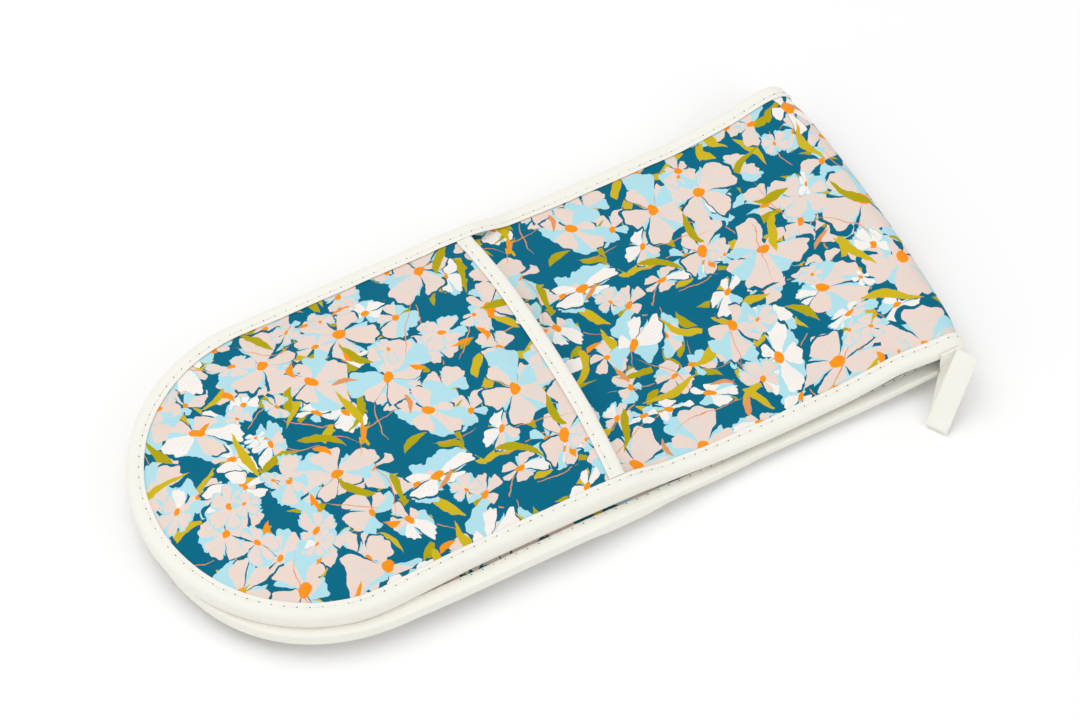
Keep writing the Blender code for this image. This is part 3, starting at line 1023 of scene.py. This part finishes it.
def band_swell(half, step):
    pattern = Pattern(FOLD_END - MEET_GAP, step)
    fade = smooth((FOLD_END - pattern.path) / 0.03)
    under_pocket = 1 - 0.9 * smooth((MOUTH_X - 0.01 - pattern.path) / 0.02)
    return settled_swell("band", half, pattern) * fade * under_pocket


def pocket_swell(half, step):
    pattern = Pattern(MOUTH_X - LIP, step)
    fade = 0.35 + 0.65 * smooth((MOUTH_X - pattern.path) / 0.03)
    return settled_swell("pocket", half, pattern) * fade


def pocket_place(side, pattern_x, y, height, swell=0.0):
    """Points of a pocket's cloth. Where the table is in the way, the hand space gives."""
    lean, lift = mouth_shape(pattern_x, y)
    points = place(side, pattern_x, y, height + lift)
    points[..., 0] += lean
    if side < 0:
        edge = np.maximum(edge_distance(pattern_x, y), LIP)
        bottom = pocket_heights(pattern_x, edge)["panel"][1] + lift + swell + 0.0002
        lowest = place(side, pattern_x, y, bottom)[..., 2]
        points[..., 2] += np.maximum(FLOOR_CLEAR - lowest, 0)
    return points


def pocket_layer(half, layer, step, finish, shift):
    """One layer of a pocket, as a front and a back piece that meet on the middle line."""
    side = SIDES[half]
    pattern = Pattern(MOUTH_X - LIP, step)
    low_height, high_height = pocket_heights(pattern.path, pattern.edge)[layer]
    swell = pocket_swell(half, step)
    if layer == "panel":
        low_height, high_height = low_height + swell, high_height + swell
    elif layer == "wadding":
        high_height = np.maximum(high_height + swell, low_height + 0.0003)
    low = kept_off_table(pocket_place(side, pattern.path, pattern.y, low_height, swell))
    high = kept_off_table(pocket_place(side, pattern.path, pattern.y, high_height, swell))
    uvs = cloth_map(pattern, half, shift)
    pieces = []
    for part in ("front", "back"):
        name = f"{half}_pocket_{layer}_{part}_cloth"
        piece = closed_cloth(name, pattern, low, high, side, finish, uvs, part)
        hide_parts(f"{half}_pocket_{layer}")
        open_with_pocket(piece, half, part)
        pieces.append(piece)
    return pieces


# Bindings.


def face_line(width, inset):
    """(distance in, sink) of the binding's flat face, with the stitches' shallow groove."""
    line = [(width, 0.00024), (width - 0.0005, 0.00003), (inset + 0.0006, 0.00008)]
    return line + [(inset, 0.00026), (inset - 0.0006, 0.00008), (inset - 0.0018, 0.0)]


def binding_section(height, close=0.0):
    """Folded binding's section as (distance in from the edge, height), for a row of heights."""
    tight = np.minimum(0.0010, height * 0.3)
    full = np.minimum(0.0034, height * 0.40)
    turns = np.linspace(0, math.pi / 2, 6)
    inset = BINDING_WIDTH - sizes().stitch_inset
    outer = []
    for distance, up in face_line(INNER_BINDING_WIDTH, inset):
        outer.append((np.full_like(height, distance), up - close + 0 * height))
    for turn in turns:
        outer.append((tight * (1 - np.sin(turn)), tight * (1 - np.cos(turn)) - close))
    outer.append((np.full_like(height, -0.00025), height * 0.42))
    for turn in turns[::-1]:
        outer.append((full * (1 - np.sin(turn)), height - full * (1 - np.cos(turn))))
    for distance, up in reversed(face_line(BINDING_WIDTH, inset)):
        outer.append((np.full_like(height, distance), height - up))
    inner = []
    cloth = BINDING_CLOTH * 0.8
    for distance, up in ((BINDING_WIDTH - 0.0002, cloth + 0.0002), (0.005, cloth)):
        inner.append((np.full_like(height, distance), height - up))
    inner.append((np.full_like(height, cloth + 0.0011), height - cloth - 0.0004))
    inner.append((np.full_like(height, cloth), height - cloth - 0.0016))
    for distance, up in ((cloth, cloth + 0.0012), (cloth + 0.0006, cloth + 0.0003)):
        inner.append((np.full_like(height, distance), np.full_like(height, up)))
    for distance, up in ((0.005, cloth), (INNER_BINDING_WIDTH - 0.0002, cloth + 0.0002)):
        inner.append((np.full_like(height, distance), np.full_like(height, up)))
    both = outer + inner
    return np.stack([d for d, _ in both], axis=1), np.stack([h for _, h in both], axis=1)


def along_rows(points):
    """Running length along a row of points."""
    steps = np.linalg.norm(np.diff(points, axis=0), axis=1)
    return np.concatenate([[0.0], np.cumsum(steps)])


def section_map(sections):
    """Flat cloth map of a swept binding: length along it, and distance round its section."""
    along = along_rows(sections.mean(axis=1))
    middle = sections[len(sections) // 2]
    around = along_rows(middle)
    return np.stack(np.broadcast_arrays(along[:, None], around[None, :]), axis=-1)


def gathered_edge(distance, height, total, along):
    """Small gathers that the stitches pull into the binding's faces."""
    pitch = sizes().stitch_pitch
    nearness = smooth(1 - np.abs(distance - (BINDING_WIDTH - sizes().stitch_inset)) / 0.004)
    pull = 0.00011 * nearness * np.cos(2 * math.pi * along / pitch)
    loose = 0.00016 * nearness * waves(along, along * 0.3, 0.021, 5)
    outward = np.where(height > total / 2, 1.0, -1.0)
    return height + outward * (pull + loose)


def edge_binding(half):
    side = SIDES[half]
    base, inward = outline(FOLD_END - MEET_GAP, 0.0015)
    total = bound_height(base[:, 0])
    open_share = smooth((base[:, 0] + 0.03) / 0.04)
    distance, height = binding_section(total, SLIT_CLOSE * (1 - 0.8 * open_share))
    along = along_rows(base)[:, None] + 0 * distance
    height = gathered_edge(distance, height, total[:, None], along)
    distance = distance + 0.00022 * waves(along, height, 0.035, 8) * smooth(distance / 0.004)
    plan = base[:, None, :] + inward[:, None, :] * distance[:, :, None]
    sections = kept_off_table(place(side, plan[..., 0], plan[..., 1], height))
    name = f"{half}_edge_binding_cloth"
    piece = swept(name, sections, plain_finish("binding"), section_map(sections))
    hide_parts(f"{half}_edge_binding", "fold_front_binding", "fold_back_binding")
    bend_with_fold(piece, half)
    return piece


def mouth_rows():
    reach = HALF_WIDTH - BOUND + GAP
    return np.linspace(-reach, reach, MOUTH_ROWS)


def mouth_binding(half):
    """Binding round a pocket's mouth, as front and back pieces that meet on the middle line."""
    side = SIDES[half]
    rows = mouth_rows()
    middle = len(rows) // 2
    pieces = []
    for part, span in (("front", rows[: middle + 1]), ("back", rows[middle:])):
        edge = HALF_WIDTH - np.abs(span)
        faces = pocket_heights(np.full_like(span, MOUTH_X), edge)
        low = faces["lining"][0] - LIP
        total = faces["panel"][1] + LIP - low
        distance, height = binding_section(total)
        along = span[:, None] + 0 * distance
        height = gathered_edge(distance, height, total[:, None], along)
        x = MOUTH_X - distance
        lean, lift = mouth_shape(np.full_like(span, MOUTH_X), span)
        sections = place(side, x, along, low[:, None] + height + lift[:, None])
        sections[..., 0] += lean[:, None]
        if side < 0:
            lowest = sections[..., 2].min(axis=1, keepdims=True)
            sections[..., 2] += np.maximum(FLOOR_CLEAR - lowest, 0)
        sections = kept_off_table(sections)
        name = f"{half}_mouth_binding_{part}_cloth"
        piece = swept(name, sections, plain_finish("binding"), section_map(sections))
        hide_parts(f"{half}_mouth_binding")
        open_with_pocket(piece, half, part)
        pieces.append(piece)
    return pieces


# Stitches.


def stitch_tree():
    """Geometry nodes that lay stitches along a line, with dark dots of painted shade at their needle holes.
    """
    tree, given, leave = group_tree(
        "Stitch line",
        "GeometryNodeTree",
        [
            ("Geometry", "NodeSocketGeometry", None),
            ("Pitch", "NodeSocketFloat", 0.006),
            ("Thread", "NodeSocketFloat", 0.0005),
            ("Cover", "NodeSocketFloat", STITCH_COVER),
            ("Thread finish", "NodeSocketMaterial", None),
            ("Hole shade finish", "NodeSocketMaterial", None),
        ],
        [("Geometry", "NodeSocketGeometry")],
    )
    curve = add_node(tree, "GeometryNodeMeshToCurve", Mesh=given["Geometry"])
    points = add_node(
        tree,
        "GeometryNodeCurveToPoints",
        {"mode": "LENGTH"},
        Curve=curve.outputs[0],
        Length=given["Pitch"],
    )
    up = add_node(tree, "GeometryNodeInputNamedAttribute", {"data_type": "FLOAT_VECTOR"})
    up.inputs["Name"].default_value = "Up"
    along = add_node(
        tree,
        "FunctionNodeAlignRotationToVector",
        {"axis": "X"},
        Vector=points.outputs["Tangent"],
    )
    facing = add_node(
        tree,
        "FunctionNodeAlignRotationToVector",
        {"axis": "Z", "pivot_axis": "X"},
        Rotation=along.outputs[0],
        Vector=up.outputs[0],
    )
    half_length = given["Pitch"] * given["Cover"] * 0.5
    thin = given["Thread"] * 0.5
    branches = []
    shapes = (
        (7, 6, (half_length, thin, thin * 0.8), 0.0, "Thread finish"),
        # Dark dot of painted shade where the thread goes into its needle hole.
        (6, 4, (thin * 1.3, thin * 1.15, thin * 0.6), 0.5, "Hole shade finish"),
    )
    for segments, rings, scale, shift, finish in shapes:
        ball = add_node(
            tree, "GeometryNodeMeshUVSphere", Segments=segments, Rings=rings, Radius=1.0
        )
        size = add_node(tree, "ShaderNodeCombineXYZ", X=scale[0], Y=scale[1], Z=scale[2])
        offset = add_node(tree, "ShaderNodeCombineXYZ", X=given["Pitch"] * shift)
        moved = add_node(
            tree,
            "GeometryNodeTransform",
            Geometry=ball.outputs["Mesh"],
            Scale=size.outputs[0],
            Translation=offset.outputs[0],
        )
        laid = add_node(
            tree,
            "GeometryNodeInstanceOnPoints",
            Points=points.outputs["Points"],
            Instance=moved.outputs[0],
            Rotation=facing.outputs[0],
        )
        real = add_node(tree, "GeometryNodeRealizeInstances", Geometry=laid.outputs[0])
        branches.append(
            add_node(
                tree,
                "GeometryNodeSetMaterial",
                Geometry=real.outputs[0],
                Material=given[finish],
            )
        )
    joint = tree.nodes.new("GeometryNodeJoinGeometry")
    for branch in branches:
        tree.links.new(branch.outputs[0], joint.inputs[0])
    smoothed = add_node(tree, "GeometryNodeSetShadeSmooth", Geometry=joint.outputs[0])
    connect(tree, leave.inputs[0], smoothed.outputs[0])
    return tree


def stitched(name, lines):
    """A plain mesh of stitches along each line of points and outward directions."""
    points = np.concatenate([line for line, _ in lines])
    ups = np.concatenate([up for _, up in lines])
    edges, start = [], 0
    for line, _ in lines:
        edges += [(start + i, start + i + 1) for i in range(len(line) - 1)]
        start += len(line)
    guide = bpy.data.meshes.new(name)
    guide.from_pydata([tuple(p) for p in points.tolist()], edges, [])
    attribute = guide.attributes.new("Up", "FLOAT_VECTOR", "POINT")
    attribute.data.foreach_set("vector", ups.astype(np.float32).ravel())
    holder = bpy.data.objects.new(name + "_line", guide)
    bpy.context.scene.collection.objects.link(holder)
    tree = bpy.data.node_groups.get("Stitch line") or stitch_tree()
    modifier = holder.modifiers.new("Stitches", "NODES")
    modifier.node_group = tree
    values = {
        "Pitch": sizes().stitch_pitch,
        "Thread": sizes().thread,
        "Cover": STITCH_COVER,
        "Thread finish": thread_finish(),
        "Hole shade finish": needle_hole_shade_finish(),
    }
    for item in tree.interface.items_tree:
        if item.in_out == "INPUT" and item.name in values:
            modifier[item.identifier] = values[item.name]
    graph = bpy.context.evaluated_depsgraph_get()
    mesh = bpy.data.meshes.new_from_object(holder.evaluated_get(graph))
    mesh.name = name
    holder.modifiers.remove(modifier)
    bpy.data.objects.remove(holder)
    for attribute in [a for a in mesh.attributes if a.name == "Up"]:
        mesh.attributes.remove(attribute)
    co = np.empty(len(mesh.vertices) * 3, np.float32)
    mesh.vertices.foreach_get("co", co)
    co = co.reshape(-1, 3)
    layer = mesh.uv_layers.get("Cloth") or mesh.uv_layers.new(name="Cloth")
    layer.data.foreach_set("uv", (co[:, :2] + co[:, 2:3])[corner_points(mesh)].ravel())
    piece = bpy.data.objects.new(name, mesh)
    bpy.context.scene.collection.objects.link(piece)
    return piece


def edge_stitches(half):
    """Both faces' stitch lines in a half's edge binding."""
    side = SIDES[half]
    base, inward = outline(FOLD_END - 0.004, 0.002)
    total = bound_height(base[:, 0])
    plan = base + inward * (BINDING_WIDTH - sizes().stitch_inset)
    lines = []
    for height, outward in ((total - STITCH_SINK, 1), (0 * total + STITCH_SINK, -1)):
        line = place(side, plan[:, 0], plan[:, 1], height)
        beyond = place(side, plan[:, 0], plan[:, 1], height + outward * 0.001)
        lines.append((kept_off_table(line, STITCH_CLEAR), (beyond - line) / 0.001))
    piece = stitched(f"{half}_edge_stitches", lines)
    bend_with_fold(piece, half)
    return piece


def mouth_stitches(half):
    side = SIDES[half]
    rows = mouth_rows()[1:-1]
    pieces = []
    middle = len(rows) // 2
    for part, span in (("front", rows[: middle + 1]), ("back", rows[middle:])):
        if part == "front":
            span = span[::-1]
        edge = HALF_WIDTH - np.abs(span)
        faces = pocket_heights(np.full_like(span, MOUTH_X), edge)
        lean, lift = mouth_shape(np.full_like(span, MOUTH_X), span)
        x = np.full_like(span, MOUTH_X - BINDING_WIDTH + sizes().stitch_inset)
        lines = []
        levels = (
            (faces["panel"][1] + LIP - STITCH_SINK, 1),
            (faces["lining"][0] - LIP + STITCH_SINK, -1),
        )
        for height, outward in levels:
            line = place(side, x, span, height + lift)
            beyond = place(side, x, span, height + lift + outward * 0.001)
            line[:, 0] += lean
            beyond[:, 0] += lean
            if side < 0:
                bottom = place(side, x, span, levels[0][0] + 0.0002 + lift)[:, 2]
                for points in (line, beyond):
                    points[:, 2] += np.maximum(FLOOR_CLEAR - bottom, 0)
            up = (beyond - line) / 0.001
            lines.append((kept_off_table(line, STITCH_CLEAR)[1:], up[1:]))
        piece = stitched(f"{half}_mouth_stitches_{part}", lines)
        open_with_pocket(piece, half, part)
        pieces.append(piece)
    return pieces


# Hanging loop.


def smooth_route(points, count):
    """Points evenly spread on a smooth curve through these points."""
    points = np.asarray(points, float)
    ends = [2 * points[0] - points[1], 2 * points[-1] - points[-2]]
    padded = np.concatenate([[ends[0]], points, [ends[1]]])
    curve = []
    for i in range(len(points) - 1):
        a, b, c, d = padded[i : i + 4]
        for t in np.linspace(0, 1, 12, endpoint=False):
            curve.append(
                0.5
                * (
                    2 * b
                    + (c - a) * t
                    + (2 * a - 5 * b + 4 * c - d) * t**2
                    + (3 * b - a - 3 * c + d) * t**3
                )
            )
    curve.append(points[-1])
    curve = np.array(curve)
    along = along_rows(curve)
    spread = np.linspace(0, along[-1], count)
    return np.stack([np.interp(spread, along, curve[:, i]) for i in range(curve.shape[1])], axis=1)


def tape_sections(route, across, off):
    """Rounded flat sections of the tape along a route."""
    shape = []
    half, thin = TAPE_WIDTH / 2, TAPE_THICKNESS / 2
    for turn in np.linspace(-math.pi / 2, math.pi / 2, 5):
        shape.append((half - thin + thin * math.cos(turn), thin * math.sin(turn)))
    for share in (0.5, 0.0, -0.5):
        shape.append((share * half, thin))
    for turn in np.linspace(math.pi / 2, 3 * math.pi / 2, 5):
        shape.append((-half + thin + thin * math.cos(turn), thin * math.sin(turn)))
    for share in (-0.5, 0.0, 0.5):
        shape.append((share * half, -thin))
    shape = np.array(shape)
    return (
        route[:, None, :]
        + shape[None, :, 0:1] * across[:, None, :]
        + shape[None, :, 1:2] * off[:, None, :]
    )


def tab_top():
    side_y = -HALF_WIDTH - GAP - TAPE_THICKNESS / 2
    return np.array([BEND_X, side_y, CENTRE_Z + BEND_INNER_RADIUS + BOUND_BAND])


def hanging_loop():
    """Tape that leaves the upper corner, folds at its far end and runs back to the sewn end."""
    clear = TAPE_THICKNESS / 2 + GAP + math.cos(LOOP_TURN) * TAPE_WIDTH / 2
    tab = tab_top()
    start = tab + np.array([TAPE_WIDTH / 2, -clear, 0])
    outward = np.array([-math.cos(LOOP_TURN), -math.sin(LOOP_TURN), 0])
    turn = 1.5 * TAPE_THICKNESS
    ground = TAPE_THICKNESS / 2 + TABLE_CLEAR
    top_z = start[2]
    reach_and_height = [
        (0.0, top_z),
        (0.06, 0.98 * top_z),
        (0.5, 0.52 * top_z + turn),
        (0.85, ground + 2.8 * turn),
        (1 - turn / LOOP_REACH, ground + 2 * turn),
        (1.0, ground + turn),
        (1 - turn / LOOP_REACH, ground),
        (0.9, ground + 0.2 * turn),
    ]
    points = [start + outward * share * LOOP_REACH for share, _ in reach_and_height]
    for point, (_, height) in zip(points, reach_and_height):
        point[2] = height
    end = tab - np.array([0, 0, TAB_HEIGHT])
    points += [
        (0.45 * points[-1] + 0.55 * end) * (1, 1, 0) + (0, -0.001, 0.0042),
        end + (0, -0.0012, -0.0068),
        end,
    ]
    route = smooth_route(points, 72)
    along = np.gradient(route, axis=0)
    along /= np.linalg.norm(along, axis=1, keepdims=True)
    untwist = smooth((np.linspace(0, 1, len(route)) - 0.56) / 0.36)[:, None]
    across = np.array([math.sin(LOOP_TURN), -math.cos(LOOP_TURN), 0])
    across = across * (1 - untwist) + np.array([1.0, 0, 0]) * untwist
    across -= along * np.sum(across * along, axis=1, keepdims=True)
    across /= np.linalg.norm(across, axis=1, keepdims=True)
    off = np.cross(along, across)
    sections = kept_off_table(tape_sections(route, across, off))
    piece = swept("hanging_loop_tape", sections, plain_finish("binding"), section_map(sections))
    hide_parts("hanging_loop")
    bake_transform(piece, "loop_sewn_end", "hanging_loop", end, end + outward * 0.012)
    return piece


def loop_sewn_end():
    """The loop's tape end, sewn flat on the side of the fold."""
    top = tab_top()
    rows = np.linspace(0, 1, 14)
    route = np.stack([0 * rows + top[0], 0 * rows + top[1], top[2] - TAB_HEIGHT * rows], axis=1)
    across = np.repeat([[1.0, 0, 0]], len(rows), axis=0)
    off = np.repeat([[0, -1.0, 0]], len(rows), axis=0)
    sections = tape_sections(route, across, off)
    piece = swept("loop_sewn_end_tape", sections, plain_finish("binding"), section_map(sections))
    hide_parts("loop_sewn_end")
    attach(piece, "loop_sewn_end")
    return piece


# Operators, one for each group of like pieces.


def cut_area(length):
    """Flat area of a cloth with one round end."""
    return 2 * HALF_WIDTH * (length - HALF_WIDTH) + math.pi * HALF_WIDTH**2 / 2


class GLOVE_OT_camera_and_light(bpy.types.Operator):
    """Sets the camera, the soft lights and the pale floor"""

    bl_idname = "glove.camera_and_light"
    bl_label = "Camera, lights and floor"

    def execute(self, context):
        build_stage(context)
        return {"FINISHED"}


def build_stage(context):
    scene = context.scene
    azimuth, elevation, roll = -0.48320, 0.97463, -0.00923
    back = Vector(
        (
            math.sin(azimuth) * math.cos(elevation),
            -math.cos(azimuth) * math.cos(elevation),
            math.sin(elevation),
        )
    )
    camera = bpy.data.objects.new("camera", bpy.data.cameras.new("camera"))
    camera.data.lens = 150
    camera.data.sensor_width = 36
    camera.data.clip_start = 0.05
    camera.data.clip_end = 50
    turn = (-back).to_track_quat("-Z", "Y").to_matrix()
    camera.matrix_world = (turn @ Matrix.Rotation(roll, 3, "Z")).to_4x4()
    camera.location = Vector((0.0862, 0.0135, 0)) + back * 2.136
    scene.collection.objects.link(camera)
    scene.camera = camera

    floor_mesh = bpy.data.meshes.new("floor")
    reach = 6.0
    floor_mesh.from_pydata(
        [(-reach, -reach, 0), (reach, -reach, 0), (reach, reach, 0), (-reach, reach, 0)],
        [],
        [(0, 1, 2, 3)],
    )
    floor = bpy.data.objects.new("floor", floor_mesh)
    scene.collection.objects.link(floor)
    paper = bpy.data.materials.new("White paper")
    paper.use_nodes = True
    shader = paper.node_tree.nodes["Principled BSDF"]
    shader.inputs["Base Color"].default_value = (0.97, 0.97, 0.97, 1)
    shader.inputs["Roughness"].default_value = 0.9
    shader.inputs["Specular IOR Level"].default_value = 0.1
    floor_mesh.materials.append(paper)

    world = bpy.data.worlds.new("Studio")
    world.use_nodes = True
    backdrop = world.node_tree.nodes["Background"]
    backdrop.inputs[0].default_value = (1.0, 1.0, 1.0, 1)
    backdrop.inputs[1].default_value = 0.71
    scene.world = world
    lamps = (
        ("overhead_lamp", (-0.3, 0.5, 1.9), 1.6, 12.6),
        ("front_lamp", (0.9, -1.5, 1.3), 1.2, 5.0),
        ("side_lamp", (-1.6, -0.5, 1.0), 1.2, 3.0),
    )
    for name, position, size, power in lamps:
        lamp = bpy.data.lights.new(name, "AREA")
        lamp.shape = "SQUARE"
        lamp.size = size
        lamp.energy = power
        holder = bpy.data.objects.new(name, lamp)
        holder.location = position
        aim = Vector((0.06, 0, 0)) - Vector(position)
        holder.rotation_euler = aim.to_track_quat("-Z", "Y").to_euler()
        scene.collection.objects.link(holder)
    scene.view_settings.view_transform = "Standard"


class GLOVE_OT_band(bpy.types.Operator):
    """Makes both halves' wadding, inner cloth and outer cloth"""

    bl_idname = "glove.band"
    bl_label = "Padded band"

    def execute(self, context):
        length = FOLD_END - TIP_X
        for half in SIDES:
            wadding = band_layer(half, "wadding", 0.004, plain_finish("wadding"), (0, 0))
            for layer, slot in (("inner", "inner_print"), ("outer", "outer_print")):
                shift = INNER_PRINT_SHIFT if layer == "inner" else (0.0, 0.0)
                cloth = band_layer(half, layer, 0.0025, print_finish(), shift)
                cut_area(length)
        return {"FINISHED"}


class GLOVE_OT_pockets(bpy.types.Operator):
    """Makes both pockets' lining, wadding and printed cloth"""

    bl_idname = "glove.pockets"
    bl_label = "Hand pockets"

    def execute(self, context):
        length = MOUTH_X - TIP_X
        finishes = {
            "lining": (plain_finish("lining"), "lining", 0.0035),
            "wadding": (plain_finish("wadding"), "wadding", 0.0025),
            "panel": (print_finish(), "outer_print", 0.0025),
        }
        for half in SIDES:
            for layer, (finish, slot, step) in finishes.items():
                for piece in pocket_layer(half, layer, step, finish, POCKET_PRINT_SHIFT):
                    if layer == "wadding":
                        continue
                    cut_area(length) / 2
        return {"FINISHED"}


class GLOVE_OT_bindings(bpy.types.Operator):
    """Makes the folded binding of the edges and of the pockets' mouths"""

    bl_idname = "glove.bindings"
    bl_label = "Bindings"

    def execute(self, context):
        edge_length = 2 * (FOLD_END - ROUND_X) + math.pi * HALF_WIDTH
        for half in SIDES:
            stitches = edge_stitches(half)
            piece = edge_binding(half)
            mouths, mouth_lines = mouth_binding(half), mouth_stitches(half)
        return {"FINISHED"}


class GLOVE_OT_loop(bpy.types.Operator):
    """Makes the hanging loop and its sewn end"""

    bl_idname = "glove.loop"
    bl_label = "Hanging loop"

    def execute(self, context):
        loop, tab = hanging_loop(), loop_sewn_end()
        return {"FINISHED"}


class GLOVE_PT_panel(bpy.types.Panel):
    bl_label = "Double oven glove"
    bl_idname = "GLOVE_PT_panel"
    bl_space_type = "VIEW_3D"
    bl_region_type = "UI"
    bl_category = "Glove"

    def draw(self, context):
        layout = self.layout
        for group in (context.scene.glove_sizes, context.scene.glove_colours):
            box = layout.box()
            for name in group.__annotations__:
                box.prop(group, name)
        for operator in OPERATORS:
            layout.operator(operator.bl_idname)


OPERATORS = (
    GLOVE_OT_camera_and_light,
    GLOVE_OT_band,
    GLOVE_OT_pockets,
    GLOVE_OT_bindings,
    GLOVE_OT_loop,
)
CLASSES = (GloveSizes, GloveColours, *OPERATORS, GLOVE_PT_panel)


def register():
    for made in CLASSES:
        bpy.utils.register_class(made)
    bpy.types.Scene.glove_sizes = PointerProperty(type=GloveSizes)
    bpy.types.Scene.glove_colours = PointerProperty(type=GloveColours)


def unregister():
    del bpy.types.Scene.glove_colours
    del bpy.types.Scene.glove_sizes
    for made in reversed(CLASSES):
        bpy.utils.unregister_class(made)


def main():
    register()
    bpy.ops.glove.camera_and_light()
    bpy.ops.glove.band()
    bpy.ops.glove.pockets()
    bpy.ops.glove.bindings()
    bpy.ops.glove.loop()


if __name__ == "__main__":
    main()
